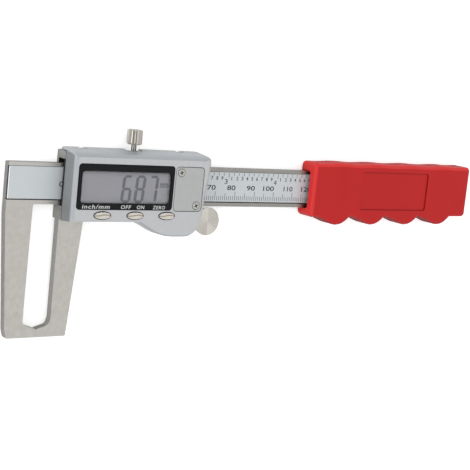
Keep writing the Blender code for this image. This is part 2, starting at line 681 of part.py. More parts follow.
def loft(name, sections):
    """Skin a stack of outlines with as many points each, and close both ends."""
    solid = bmesh.new()
    rings = [[solid.verts.new(point) for point in section] for section in sections]
    count = len(rings[0])
    for lower, upper in zip(rings, rings[1:]):
        for k in range(count):
            after = (k + 1) % count
            solid.faces.new((lower[k], lower[after], upper[after], upper[k]))
    solid.faces.new(rings[0][::-1])
    solid.faces.new(rings[-1])
    bmesh.ops.remove_doubles(solid, verts=solid.verts, dist=0.002 * MM)
    bmesh.ops.recalc_face_normals(solid, faces=solid.faces)
    mesh = bpy.data.meshes.new(name)
    solid.to_mesh(mesh)
    solid.free()
    made = bpy.data.objects.new(name, mesh)
    bpy.context.scene.collection.objects.link(made)
    return made


def bezel_rectangle(grow=0.0):
    return rectangle(BEZEL_LEFT - grow, BEZEL_BOTTOM - grow, BEZEL_RIGHT + grow, BEZEL_TOP + grow,
                     BEZEL_CORNER + grow)


def window_rectangle(grow=0.0):
    """The display's opening in the bezel, grown all round."""
    left, right, top, bottom = WINDOW_MARGINS
    return rectangle(BEZEL_LEFT + left - grow, BEZEL_BOTTOM + bottom - grow,
                     BEZEL_RIGHT - right + grow, BEZEL_TOP - top + grow, WINDOW_CORNER)


def battery_rectangle(grow=0.0):
    return rectangle(BATTERY_LEFT - grow, BATTERY_COVER_TOP - BATTERY_COVER_HEIGHT - grow,
                     BATTERY_RIGHT + grow, BATTERY_COVER_TOP + grow, BATTERY_COVER_CORNER + grow)


def battery_screws():
    """Centres of the two screws, in opposite corners of the battery cover."""
    dx = BATTERY_COVER_LENGTH / 2 - BATTERY_SCREW_INSET[0]
    dy = BATTERY_COVER_HEIGHT / 2 - BATTERY_SCREW_INSET[1]
    return [(BATTERY_X - dx, BATTERY_Y + dy), (BATTERY_X + dx, BATTERY_Y - dy)]


def button_centres():
    first = BEZEL_LEFT + BUTTON_INSETS[0]
    pitch = (BEZEL_RIGHT - BUTTON_INSETS[1] - first) / (len(BUTTON_NAMES) - 1)
    return [(first + pitch * k, BUTTON_Y) for k in range(len(BUTTON_NAMES))]


def make_cover(slider):
    """The die-cast housing: a drafted shell with a thumb rest, let-in panels and screw bosses."""
    shelf = COVER_FACE - THUMB_REST_THICKNESS
    depths = [-SKIRT_REACH, shelf - 0.001 * MM, shelf, COVER_FACE - TOP_BEVEL[1]]
    rounding = 6
    depths += [COVER_FACE - 2.2 * MM * math.cos(math.pi / 2 * k / rounding) for k in range(rounding + 1)]
    cover = loft("housing_cover", [cover_section(depth) for depth in depths])
    wide = FRAME_LENGTH
    frame_room = box("frame_room", (SLIDER_LEFT - wide, -wide, -wide),
                     (COVER_RIGHT + wide, FRAME_TOP + FIT, COVER_REAR))
    hollow = plate("housing_hollow",
                   [rectangle(SLIDER_LEFT + COVER_WALL, -INNER_HALF_HEIGHT,
                              COVER_RIGHT - WAIST - COVER_WALL, INNER_HALF_HEIGHT, COVER_WALL)],
                   COVER_REAR - FIT, COVER_INNER_FACE)
    cut(cover, frame_room, hollow)
    for x, y in housing_screws():
        join(cover, rod("housing_boss", BOSS_RADIUS, (x, y, COVER_REAR), (x, y, COVER_INNER_FACE + FIT)))
    posts = battery_screws()
    for x, y in posts:
        join(cover, rod("battery_post", BATTERY_POST_RADIUS,
                        (x, y, COVER_FACE - 3 * FIT - BATTERY_SCREW_LENGTH),
                        (x, y, BATTERY_LEDGE - FIT), 16))
    for x, y in housing_screws():
        cut(cover, rod("boss_bore", HOUSING_SCREW_RADIUS + FIT, (x, y, COVER_REAR - FIT),
                       (x, y, COVER_REAR + BOSS_DEPTH), 16))
    cut(cover,
        plate("bezel_pocket", [bezel_rectangle(SNUG)], LEDGE, COVER_FACE + FIT),
        plate("lens_opening", [window_rectangle(LENS_LAP + SNUG)], COVER_INNER_FACE - FIT, COVER_FACE),
        plate("battery_pocket", [battery_rectangle(PANEL_GAP)], BATTERY_LEDGE, COVER_FACE + FIT),
        rod("battery_bay", CELL_RADIUS + FIT, (BATTERY_X, BATTERY_Y, COVER_INNER_FACE - FIT),
            (BATTERY_X, BATTERY_Y, COVER_FACE), 40))
    for x, y in posts:
        cut(cover, rod("battery_screw_bore", BATTERY_SCREW_RADIUS + FIT,
                       (x, y, COVER_FACE - BATTERY_SCREW_LENGTH - FIT), (x, y, COVER_FACE), 16))
    length, height = BUTTON_SIZE
    for x, y in button_centres():
        cut(cover, plate("button_opening", [oval(x, y, length + 2 * BUTTON_GAP, height + 2 * BUTTON_GAP)],
                         COVER_INNER_FACE - FIT, COVER_FACE + FIT))
    for x in GIB_SCREW_X:
        cut(cover, rod("gib_screw_access", GIB_SCREW_RADIUS + FIT, (x, FRAME_TOP, SCREW_LINE),
                       (x, COVER_HALF_HEIGHT + FIT, SCREW_LINE), 20),
            rod("access_rim", GIB_SCREW_RADIUS + FIT + ACCESS_RIM[0],
                (x, COVER_HALF_HEIGHT - ACCESS_RIM[1], SCREW_LINE), (x, COVER_HALF_HEIGHT + FIT, SCREW_LINE), 20))
    slot = LOCK_SHANK_RADIUS + FIT
    cut(cover,
        rod("lock_recess", LOCK_RECESS_RADIUS, (LOCK_X, LOCK_RECESS_FLOOR, SCREW_LINE),
            (LOCK_X, COVER_HALF_HEIGHT + FIT, SCREW_LINE), 32),
        plate("lock_slot", [rounded([(LOCK_X - slot, -2 * SKIRT_REACH, 0),
                                     (LOCK_X + slot, -2 * SKIRT_REACH, 0),
                                     (LOCK_X + slot, SCREW_LINE + slot, slot * 0.99),
                                     (LOCK_X - slot, SCREW_LINE + slot, slot * 0.99)])],
              FRAME_TOP, COVER_HALF_HEIGHT + FIT, "Y"))
    finish(smooth(cover), COVER, slider)
    head = HOUSING_SCREW_HEAD
    for number, (x, y) in enumerate(housing_screws(), 1):
        screw(f"housing_screw_{number}", head, HOUSING_SCREW_RADIUS, HOUSING_SCREW_LENGTH,
              (x, y, -BACK + FIT), slider, DARK_STEEL, points_up=False)


def make_gib(slider):
    """The gib strip over the beam and the two set screws that press it down."""
    bottom = BEAM_HALF + FIT
    gib = box("gib_strip", (SLIDER_LEFT + GIB_INSET, bottom, -BEAM_THICKNESS),
              (FRAME_RIGHT - GIB_INSET, bottom + GIB_THICKNESS, 0))
    finish(gib, BRONZE, slider)
    profile = [(0, GIB_SCREW_LENGTH), (GIB_SCREW_RADIUS, GIB_SCREW_LENGTH), (GIB_SCREW_RADIUS, 0), (0, 0)]
    for side, x in zip(("left", "right"), GIB_SCREW_X):
        screw_object = turned(f"gib_set_screw_{side}", profile, (x, GUIDE_TOP, SCREW_LINE), "Y", 16)
        finish(screw_object, DARK_STEEL, slider)


def make_display(slider):
    """Bezel, clear window, display glass and the strips that connect it."""
    bezel = plate("display_bezel", [bezel_rectangle(), window_rectangle()], BEZEL_BACK, BEZEL_FACE)
    finish(bezel, BEZEL_BLACK, slider)
    lens = plate("display_lens", [window_rectangle(LENS_LAP)], LENS_BACK, LEDGE)
    join(lens, plate("lens_step", [window_rectangle(-SNUG)], LENS_BACK + LENS_THICKNESS / 2,
                     BEZEL_FACE - LENS_BELOW_BEZEL))
    finish(lens, CLEAR, slider)
    glass = plate("lcd_panel", [window_rectangle(LENS_LAP - SNUG)], LCD_BACK, LCD_FACE)
    finish(glass, DISPLAY, slider)
    left, right, top, bottom = WINDOW_MARGINS
    start = BEZEL_LEFT + left + SNUG
    end = BEZEL_RIGHT - right - SNUG
    upper = BEZEL_TOP - top
    lower = BEZEL_BOTTOM + bottom
    for name, y in (("upper", upper - CONNECTOR_WIDTH), ("lower", lower)):
        strip = box(f"lcd_connector_{name}", (start, y, BOARD_FACE + FIT),
                    (end, y + CONNECTOR_WIDTH, LCD_BACK - FIT))
        finish(strip, RUBBER, slider)


def make_electronics(slider):
    """The sensor plate over the scale, and the circuit board with its driver chip and screws."""
    sensor = box("sensor_plate", (SLIDER_LEFT + SENSOR_INSETS[0], GUIDE_BOTTOM + FIT, SENSOR_TO_SCALE),
                 (FRAME_RIGHT - SENSOR_INSETS[1], GUIDE_TOP - FIT,
                  SENSOR_TO_SCALE + SENSOR_THICKNESS))
    finish(sensor, BOARD, slider)
    board = plate("circuit_board",
                  [rectangle(BOARD_LEFT, -BOARD_HALF_HEIGHT, BOARD_RIGHT, BOARD_HALF_HEIGHT, EDGE_BREAK)]
                  + [circle(x, y, BOARD_SCREW_RADIUS + FIT, 12) for x, y in board_screws()],
                  BOARD_BACK, BOARD_FACE)
    along, middle, side, height = CHIP
    chip = box("driver_chip", (BOARD_LEFT + along, middle - side / 2, BOARD_FACE - FIT),
               (BOARD_LEFT + along + side, middle + side / 2, BOARD_FACE + height))
    join(board, chip)
    finish(board, BOARD, slider)
    head_radius, head_height = BOARD_SCREW_HEAD
    for number, (x, y) in enumerate(board_screws(), 1):
        screw(f"board_screw_{number}", BOARD_SCREW_HEAD, BOARD_SCREW_RADIUS,
              BOARD_THICKNESS + head_height + FIT + BOARD_SCREW_GRIP,
              (x, y, BOARD_FACE + FIT + head_height), slider, DARK_STEEL)


def make_buttons(slider):
    """The three keys in the housing and the rubber pad under them."""
    dome_top = COVER_INNER_FACE - FIT - BUTTON_FLANGE[1] - 3 * BUTTON_TRAVEL
    length, height = BUTTON_SIZE
    centres = button_centres()
    low = BOARD_FACE + FIT
    margin = 2 * DOME_RADIUS
    pad_low = BUTTON_Y - DOME_RADIUS + FIT
    pad = box("button_pad", (centres[0][0] - margin, pad_low, low),
              (centres[-1][0] + margin, pad_low + PAD_HEIGHT, low + PAD_THICKNESS))
    for x, y in centres:
        join(pad, rod("dome", DOME_RADIUS, (x, y + 2 * FIT, low + FIT), (x, y + 2 * FIT, dome_top), 16))
    finish(pad, RUBBER, slider)
    stem_end = dome_top + BUTTON_TRAVEL + SNUG
    flange_face = COVER_INNER_FACE - FIT
    flange, flange_height = BUTTON_FLANGE
    for name, (x, y) in zip(BUTTON_NAMES, centres):
        button = plate(f"button_{name}", [oval(0, 0, length, height)], flange_face - flange_height / 2,
                       COVER_FACE + BUTTON_PROUD, edge=BUTTON_EDGE)
        ears = box("button_flange", (-length / 2 - flange, -height / 2 + FIT, flange_face - flange_height),
                   (length / 2 + flange, height / 2 - SNUG, flange_face))
        stem = rod("button_stem", BUTTON_STEM_RADIUS, (0, 2 * FIT, stem_end), (0, 2 * FIT, flange_face), 16)
        for tool in (ears, stem):
            tool.location = (x, y, 0)
        join(button, ears, stem)
        button.location = (x, y, 0)
        finish(button, KEY, slider)


def make_battery(slider):
    """The coin cell, its two contacts, and the battery cover with its screws."""
    cell = turned("coin_cell", [(0, CELL_HEIGHT), (CELL_RADIUS - FIT, CELL_HEIGHT),
                                (CELL_RADIUS, CELL_HEIGHT - FIT), (CELL_RADIUS, 2 * FIT),
                                (CELL_RADIUS - 2 * FIT, 0), (0, 0)],
                  (BATTERY_X, BATTERY_Y, CELL_BACK), steps=40)
    finish(smooth(cell), NICKEL, slider)
    low = BOARD_FACE + FIT
    negative = box("battery_contact_negative", (BATTERY_X - CELL_RADIUS, BATTERY_Y - CONTACT_WIDTH / 2, low),
                   (BATTERY_X + CONTACT_WIDTH, BATTERY_Y + CONTACT_WIDTH / 2, low + CONTACT_THICKNESS))
    finish(negative, BRASS, slider)
    side = BATTERY_Y - CELL_RADIUS - FIT
    positive = box("battery_contact_positive", (BATTERY_X - CONTACT_WIDTH, side - CONTACT_THICKNESS, low),
                   (BATTERY_X, side, CELL_FACE - FIT))
    finish(positive, BRASS, slider)
    holes = [circle(x, y, BATTERY_SCREW_RADIUS + FIT, 16) for x, y in battery_screws()]
    lid = plate("battery_cover", [battery_rectangle(), *holes], BATTERY_BACK, COVER_FACE)
    head_radius, head_height = BATTERY_SCREW_HEAD
    for number, (x, y) in enumerate(battery_screws(), 1):
        floor = COVER_FACE + BATTERY_SCREW_PROUD - head_height - FIT
        cut(lid, rod("head_recess", head_radius + SNUG, (x, y, floor), (x, y, COVER_FACE + FIT), 24))
        screw(f"battery_cover_screw_{number}", BATTERY_SCREW_HEAD, BATTERY_SCREW_RADIUS,
              BATTERY_SCREW_LENGTH, (x, y, COVER_FACE + BATTERY_SCREW_PROUD), slider, CHROME)
    finish(lid, BATTERY_LID, slider)


def make_roller(slider):
    """The thumb roller under the beam and the axle that carries it."""
    rear = ROLLER_FACE - ROLLER_RIM
    hub_end = rear - ROLLER_HUB
    bore = AXLE_RADIUS + FIT
    bore_top = ROLLER_FACE - 2 * ROLLER_CHAMFER
    profile = [(0, ROLLER_FACE), (ROLLER_RADIUS - ROLLER_CHAMFER, ROLLER_FACE),
               (ROLLER_RADIUS, ROLLER_FACE - ROLLER_CHAMFER), (ROLLER_RADIUS - ROLLER_TAPER, rear),
               (ROLLER_HUB_RADIUS, rear), (ROLLER_HUB_RADIUS, hub_end), (bore, hub_end),
               (bore, bore_top), (0, bore_top)]
    roller = turned("thumb_roller", profile, (ROLLER_X, ROLLER_Y, 0), steps=48)
    finish(smooth(roller), ROLLER_STEEL, slider)
    axle = turned("roller_axle", [(0, bore_top - FIT), (AXLE_RADIUS, bore_top - FIT),
                                  (AXLE_RADIUS, -BACK + 3 * FIT), (0, -BACK + 3 * FIT)],
                  (ROLLER_X, ROLLER_Y, 0), steps=20)
    finish(axle, DARK_STEEL, slider)


def make_lock_screw(slider):
    """The knurled lock screw that clamps the gib."""
    chamfer = LOCK_CHAMFER
    end = GUIDE_TOP
    core = turned("lock_screw", [(0, TOOL_TOP), (LOCK_HEAD_RADIUS - chamfer, TOOL_TOP),
                                 (LOCK_HEAD_RADIUS, TOOL_TOP - chamfer),
                                 (LOCK_HEAD_RADIUS, LOCK_HEAD_BOTTOM + chamfer),
                                 (LOCK_HEAD_RADIUS - chamfer, LOCK_HEAD_BOTTOM),
                                 (LOCK_SHANK_RADIUS, LOCK_HEAD_BOTTOM), (LOCK_SHANK_RADIUS, end), (0, end)],
                  (LOCK_X, 0, SCREW_LINE), "Y", 2 * LOCK_RIDGES)
    ridge = []
    for k in range(2 * LOCK_RIDGES):
        reach = LOCK_HEAD_RADIUS + FIT if k % 2 else LOCK_HEAD_RADIUS - LOCK_RIDGE_DEPTH
        angle = math.pi * k / LOCK_RIDGES
        ridge.append((LOCK_X + reach * math.cos(angle), SCREW_LINE + reach * math.sin(angle)))
    far = circle(LOCK_X, SCREW_LINE, 2 * LOCK_HEAD_RADIUS, 24)
    knurl = plate("knurl_cutter", [far, ridge], LOCK_HEAD_BOTTOM - FIT, TOOL_TOP + FIT, "Y")
    cut(core, knurl)
    finish(core, CHROME, slider)


clear_scene()
PARTS = new_collection("brake_disc_micrometer")
CUTTERS = new_collection("cutters")
DATUM = add_empty("datum", -CENTRE)
SLIDER = add_empty("slider", parent=DATUM)

STEEL = material("brushed_steel", (0.52, 0.51, 0.49), 0.35, 1.0)
LABEL = material("scale_label", (0.56, 0.58, 0.60), 0.45)
GRIP = material("red_plastic", (0.55, 0.03, 0.03), 0.45)
COVER = material("satin_silver", (0.53, 0.56, 0.58), 0.4, 0.6)
BEZEL_BLACK = material("bezel_black", (0.018, 0.019, 0.02), 0.3)
CLEAR = material("clear_plastic", (0.9, 0.92, 0.92), 0.05, 0.0, 0.3)
DISPLAY = material("display_glass", (0.36, 0.36, 0.39), 0.3)
RUBBER = material("grey_rubber", (0.15, 0.15, 0.16), 0.8)
BOARD = material("circuit_board", (0.02, 0.13, 0.06), 0.5)
KEY = material("key_champagne", (0.68, 0.62, 0.52), 0.3, 0.7)
BATTERY_LID = material("battery_lid", (0.50, 0.51, 0.50), 0.4, 0.6)
NICKEL = material("cell_nickel", (0.6, 0.6, 0.58), 0.25, 1.0)
BRASS = material("contact_brass", (0.6, 0.45, 0.2), 0.35, 1.0)
BRONZE = material("gib_bronze", (0.45, 0.32, 0.15), 0.4, 1.0)
CHROME = material("bright_steel", (0.62, 0.61, 0.59), 0.2, 1.0)
ROLLER_STEEL = material("turned_steel", (0.60, 0.58, 0.55), 0.25, 1.0)
DARK_STEEL = material("black_steel", (0.08, 0.08, 0.08), 0.4, 0.8)

make_beam()
make_grip()
make_frame(SLIDER)
make_cover(SLIDER)
make_gib(SLIDER)
make_display(SLIDER)
make_electronics(SLIDER)
make_buttons(SLIDER)
make_battery(SLIDER)
make_roller(SLIDER)
make_lock_screw(SLIDER)
bpy.context.view_layer.update()
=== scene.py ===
"""Looks of the digital brake disc micrometer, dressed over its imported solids."""
import logging
import math
from contextlib import contextmanager
from dataclasses import dataclass, field
from enum import Enum
from typing import Any, Callable, Iterator, Sequence

import bmesh
import bpy
from mathutils import Matrix, Vector


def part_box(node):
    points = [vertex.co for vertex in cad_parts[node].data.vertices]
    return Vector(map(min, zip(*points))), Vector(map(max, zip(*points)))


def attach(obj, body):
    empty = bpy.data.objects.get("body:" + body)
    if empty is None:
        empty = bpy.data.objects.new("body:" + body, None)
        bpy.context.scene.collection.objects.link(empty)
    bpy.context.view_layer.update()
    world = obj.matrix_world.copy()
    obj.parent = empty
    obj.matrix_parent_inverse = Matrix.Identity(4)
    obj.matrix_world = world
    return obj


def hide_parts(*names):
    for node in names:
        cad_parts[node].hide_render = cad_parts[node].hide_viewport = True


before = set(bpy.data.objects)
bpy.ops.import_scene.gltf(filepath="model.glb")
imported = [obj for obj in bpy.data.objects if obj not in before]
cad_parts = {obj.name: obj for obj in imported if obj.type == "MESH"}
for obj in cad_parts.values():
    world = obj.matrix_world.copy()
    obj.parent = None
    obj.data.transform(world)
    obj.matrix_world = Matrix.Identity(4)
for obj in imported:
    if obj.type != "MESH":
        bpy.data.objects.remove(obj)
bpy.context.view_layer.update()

MM = 0.001
# The sizes below are in millimetres from the scale's zero, the beam's middle line and its front face.
ORIGIN = Vector((93.525, -18.95, -5.4))
INCH_TENTH = 2.54
# Places closer than this, in millimetres, are the same one.
NEAR = 0.02
# In metres and degrees: what is merged and flattened in a copied node.
DOUBLE, FLAT = 2e-6, 0.6
# A normal's shares along an axis: it looks that way, it leans away from it, or it stands across it.
FACING, STEEP, ACROSS = 0.9, 0.5, 0.3
# A noise seldom leaves these values.
NOISE_LOW, NOISE_HIGH = 0.25, 0.75
log = logging.getLogger("micrometer")

Point = tuple[float, float, float]
Pair = tuple[float, float]
Shade = tuple[int, int, int]
Thing = bpy.types.Object
Tree = bpy.types.NodeTree
Socket = bpy.types.NodeSocket


def place(x: float, y: float, z: float) -> Vector:
    """Turns a place on the tool, in millimetres, into the frame's metres."""
    return (Vector((x, y, z)) - ORIGIN) * MM


def at(axis: str, value: float) -> float:
    """Turns a place along one axis, X, Y or Z, into the frame's metres."""
    return place(value, value, value)["XYZ".index(axis)]


def near(a: float, b: float) -> bool:
    """Says whether two places along an axis are the same one."""
    return abs(a - b) < NEAR * MM


def apart(a: Vector, b: Vector) -> float:
    """Gives how far two places are apart, seen from the front."""
    return math.hypot(a.x - b.x, a.y - b.y)


def from_axis(a: Vector, b: Vector) -> float:
    """Gives how far two places are apart, seen from above."""
    return math.hypot(a.x - b.x, a.z - b.z)


def inside(c: Vector, low: Vector, high: Vector) -> bool:
    """Says whether a place lies in the box between two corners."""
    return all(low[k] < c[k] < high[k] for k in range(3))


def linear(colour: Sequence[float]) -> tuple[float, float, float, float]:
    """Turns a screen colour of 0 to 255 into the shader's linear values.

    Args:
        colour: Red, green and blue.

    Returns:
        The linear colour with full alpha.
    """
    parts = [c / 255 for c in colour]
    r, g, b = (c / 12.92 if c <= 0.04045 else ((c + 0.055) / 1.055) ** 2.4 for c in parts)
    return (r, g, b, 1.0)


def feed(tree: Tree, node: bpy.types.Node, inputs: dict[str | int, Any]) -> None:
    """Gives a node's inputs their values, or the links that carry them.

    Args:
        tree: The node's tree.
        node: The node.
        inputs: A value or a socket for each input.
    """
    for key, value in inputs.items():
        if isinstance(value, Socket):
            tree.links.new(value, node.inputs[key])
        else:
            node.inputs[key].default_value = value


def wire(tree: Tree, kind: str, inputs: dict[str | int, Any], output: str | int = 0, **settings: Any) -> Socket:
    """Adds a node to a tree and feeds it.

    Args:
        tree: The tree.
        kind: The node's type, without its first word.
        inputs: A value or a socket for each input.
        output: The output that is wanted.
        settings: The node's own properties.

    Returns:
        The output's socket.
    """
    node = tree.nodes.new(f"ShaderNode{kind}")
    for name, value in settings.items():
        setattr(node, name, value)
    feed(tree, node, inputs)
    return node.outputs[output]


class Grain(Enum):
    """Which way a finish's fine grain runs: its sizes along the three axes, in millimetres."""

    EVEN = (0.25, 0.25, 0.25)
    FINE = (0.09, 0.09, 0.09)
    ALONG_X = (4.0, 0.14, 0.14)
    ALONG_Y = (0.2, 3.0, 0.2)


# ---------------------------------------------------------------- finishes


@dataclass(frozen=True)
class Finish:
    """One finish of the tool, made as a node material.

    The fine grain gives the colour's speckle, the gloss's spread and the bump, and the clouds are the
    broad, faint patches that handling and plating leave.
    """

    name: str
    colour: Shade
    metal: float = 0.0
    rough: float = 0.5
    rough_spread: float = 0.06
    clouds: float = 0.05
    cloud_size: float = 7.0
    speckle: float = 0.05
    grain: Grain = Grain.EVEN
    relief: float = 0.003
    specular: float = 0.5
    grain_fineness: float = 0.6
    cloud_fineness: float = 0.55
    bump: float = 0.6
    more: tuple[tuple[str, float], ...] = ()

    def make(self) -> bpy.types.Material:
        """Builds the material.

        Returns:
            The new material.
        """
        material = bpy.data.materials.new(self.name)
        material.use_nodes = True
        tree = material.node_tree
        grain = self.noise(tree, tuple(1 / (size * MM) for size in self.grain.value), self.grain_fineness)
        clouds = self.noise(tree, (1 / (self.cloud_size * MM),) * 3, self.cloud_fineness)
        colour = self.tint(tree, clouds, self.clouds, self.paint(tree))
        feed(tree, tree.nodes["Principled BSDF"], {
            "Metallic": self.metal,
            "Specular IOR Level": self.specular,
            "Base Color": self.tint(tree, grain, self.speckle, colour),
            "Roughness": wire(tree, "MapRange", {"Value": grain, "To Min": max(0.02, self.rough - self.rough_spread),
                                                 "To Max": min(1.0, self.rough + self.rough_spread)}),
            "Normal": wire(tree, "Bump", {"Strength": self.bump, "Distance": self.relief * MM,
                                          "Height": self.height(tree, grain)}),
            **dict(self.more)})
        return material

    def paint(self, tree: Tree) -> Socket:
        """Gives the colour before its clouds and speckle.

        Args:
            tree: The material's tree.

        Returns:
            The socket that carries the colour.
        """
        colour = wire(tree, "RGB", {})
        colour.default_value = linear(self.colour)
        return colour

    def height(self, tree: Tree, grain: Socket) -> Socket:
        """Gives the bump's height: the grain itself, unless a finish adds to it."""
        return grain

    @staticmethod
    def coordinates(tree: Tree, scale: Point, centre: Point = (0.0, 0.0, 0.0)) -> Socket:
        """Gives object coordinates, centred and scaled.

        Args:
            tree: The material's tree.
            scale: Factors along the three axes.
            centre: The place in metres that becomes zero.

        Returns:
            The socket of the mapped place.
        """
        return wire(tree, "Mapping", {"Vector": wire(tree, "TexCoord", {}, "Object"), "Scale": scale,
                                      "Location": tuple(-c * s for c, s in zip(centre, scale))})

    def along(self, tree: Tree, axis: str, centre: Point, scale: float = 1.0) -> Socket:
        """Gives the distance from a place on the tool along one axis."""
        spot = self.coordinates(tree, (scale,) * 3, tuple(place(*centre)))
        return wire(tree, "SeparateXYZ", {"Vector": spot}, axis)

    def noise(self, tree: Tree, scale: Point, fineness: float) -> Socket:
        """Adds a noise on object coordinates, with finer layers of the strength given."""
        return wire(tree, "TexNoise", {"Scale": 1.0, "Detail": 3.0, "Roughness": fineness,
                                       "Vector": self.coordinates(tree, scale)})

    @staticmethod
    def tint(tree: Tree, value: Socket, share: float, colour: Socket) -> Socket:
        """Makes a colour lighter and darker by a value round its middle.

        Args:
            tree: The material's tree.
            value: A noise of 0 to 1.
            share: The most that the colour gains or loses.
            colour: The colour to vary.

        Returns:
            The varied colour.
        """
        factor = wire(tree, "MapRange", {"Value": value, "From Min": NOISE_LOW, "From Max": NOISE_HIGH,
                                         "To Min": 1 - share, "To Max": 1 + share})
        return wire(tree, "VectorMath", {0: colour, "Scale": factor}, operation="SCALE")

    @staticmethod
    def ramp(tree: Tree, value: Socket, ends: Pair, stops: Sequence[tuple[float, Sequence[float]]]) -> Socket:
        """Turns a value into a colour.

        Args:
            tree: The material's tree.
            value: The value.
            ends: The values at which the ramp starts and ends.
            stops: The linear colours in order, each with its place on the ramp from 0 to 1.

        Returns:
            The socket of the colour.
        """
        ranged = wire(tree, "MapRange", {"Value": value, "From Min": ends[0], "From Max": ends[1]})
        node = tree.nodes.new("ShaderNodeValToRGB")
        elements = node.color_ramp.elements
        while len(elements) < len(stops):
            elements.new(0.5)
        for element, (position, colour) in zip(elements, stops):
            element.position, element.color = position, colour
        feed(tree, node, {"Fac": ranged})
        return node.outputs["Color"]


@dataclass(frozen=True)
class TurnedFinish(Finish):
    """A face turned on a lathe: fine rings round an axis, and painted fans of reflected light and shade across them.
    """

    centre: Point = (0.0, 0.0, 0.0)
    ring_pitch: float = 0.3
    ring_bend: float = 0.4
    # The painted reflection fans' strength, and their light and shade at shares of the way round.
    fans: float = 0.13
    swings: tuple[Pair, ...] = ((0.0, 0.0), (0.08, -0.4), (0.244, -1.1), (0.256, 0.9), (0.36, 0.7), (0.42, -0.2),
                                (0.55, -0.7), (0.68, -0.4), (0.744, -0.5), (0.756, 0.9), (0.86, 0.7), (1.0, 0.0))

    def height(self, tree: Tree, grain: Socket) -> Socket:
        """Adds the turning marks to the grain.

        Args:
            tree: The material's tree.
            grain: The grain's value.

        Returns:
            The sum of both.
        """
        spot = self.coordinates(tree, (math.tau / 20 / (self.ring_pitch * MM),) * 3, tuple(place(*self.centre)))
        rings = wire(tree, "TexWave", {"Scale": 1.0, "Distortion": self.ring_bend, "Vector": spot}, "Fac",
                     wave_type="RINGS", rings_direction="Z")
        return wire(tree, "Math", {0: grain, 1: rings}, operation="ADD")

    def paint(self, tree: Tree) -> Socket:
        """Gives the colour with painted fans of reflected light, such as a turned face shows.

        Args:
            tree: The material's tree.

        Returns:
            The socket of the colour.
        """
        sides = {0: self.along(tree, "Y", self.centre), 1: self.along(tree, "X", self.centre)}
        angle = wire(tree, "Math", sides, operation="ARCTAN2")
        stops = [(position, tuple(c * (1 + self.fans * swing) for c in linear(self.colour)[:3]) + (1.0,))
                 for position, swing in self.swings]
        return self.ramp(tree, angle, (-math.pi, math.pi), stops)


@dataclass(frozen=True)
class FadedFinish(Finish):
    """A finish whose colour changes along one axis of the tool: painted light and shade."""

    axis: str = "X"
    ends: Pair = (-10.0, 62.0)
    stops: tuple[tuple[float, Shade], ...] = ()

    def paint(self, tree: Tree) -> Socket:
        """Gives the painted light and shade along the axis."""
        value = self.along(tree, self.axis, (0.0, 0.0, 0.0))
        return self.ramp(tree, value, (self.ends[0] * MM, self.ends[1] * MM),
                         [(position, linear(shade)) for position, shade in self.stops])


@dataclass(frozen=True)
class KeyFinish(Finish):
    """The keys' champagne plating, with painted shade in the wavy crease that runs along each key."""

    crease: Point = (12.3, -10.5, 0.0)
    pitch: float = 7.25
    wave: float = 0.22
    phase: float = 0.5
    reach: float = 0.46
    shade: Shade = (150, 141, 131)
    # Where the crease's painted shade is darkest and where it ends, as shares of its reach on both sides.
    darkest: Pair = (0.5, 0.56)
    paler: Pair = (0.32, 0.72)

    def paint(self, tree: Tree) -> Socket:
        """Gives the plating with the painted shade of its crease.

        Args:
            tree: The material's tree.

        Returns:
            The socket of the colour.
        """
        line = self.along(tree, "X", self.crease, 1 / MM)
        for operation, second, third in (("MULTIPLY_ADD", math.tau / self.pitch, self.phase), ("SINE", 0.0, 0.0),
                                         ("MULTIPLY", self.wave, 0.0)):
            line = wire(tree, "Math", {0: line, 1: second, 2: third}, operation=operation)
        away = wire(tree, "Math", {0: self.along(tree, "Y", self.crease, 1 / MM), 1: line}, operation="SUBTRACT")
        plain, dark = linear(self.colour), linear(self.shade)
        return self.ramp(tree, away, (-2 * self.reach, 2 * self.reach),
                         [(0.0, plain), (self.paler[0], plain), *((stop, dark) for stop in self.darkest),
                          (self.paler[1], plain)])


@dataclass(frozen=True)
class BoardFinish(Finish):
    """Green solder mask over copper traces."""

    trace: Shade = (40, 110, 62)
    cell: float = 2.6
    trace_width: float = 0.09
    patch: float = 0.9

    def paint(self, tree: Tree) -> Socket:
        """Gives the mask with lighter traces in it."""
        return wire(tree, "TexBrick", {
            "Scale": 1.0, "Mortar Size": self.trace_width, "Mortar": linear(self.trace),
            "Color1": linear(self.colour), "Color2": linear([round(c * self.patch) for c in self.colour]),
            "Vector": self.coordinates(tree, (1 / (self.cell * MM),) * 3)})


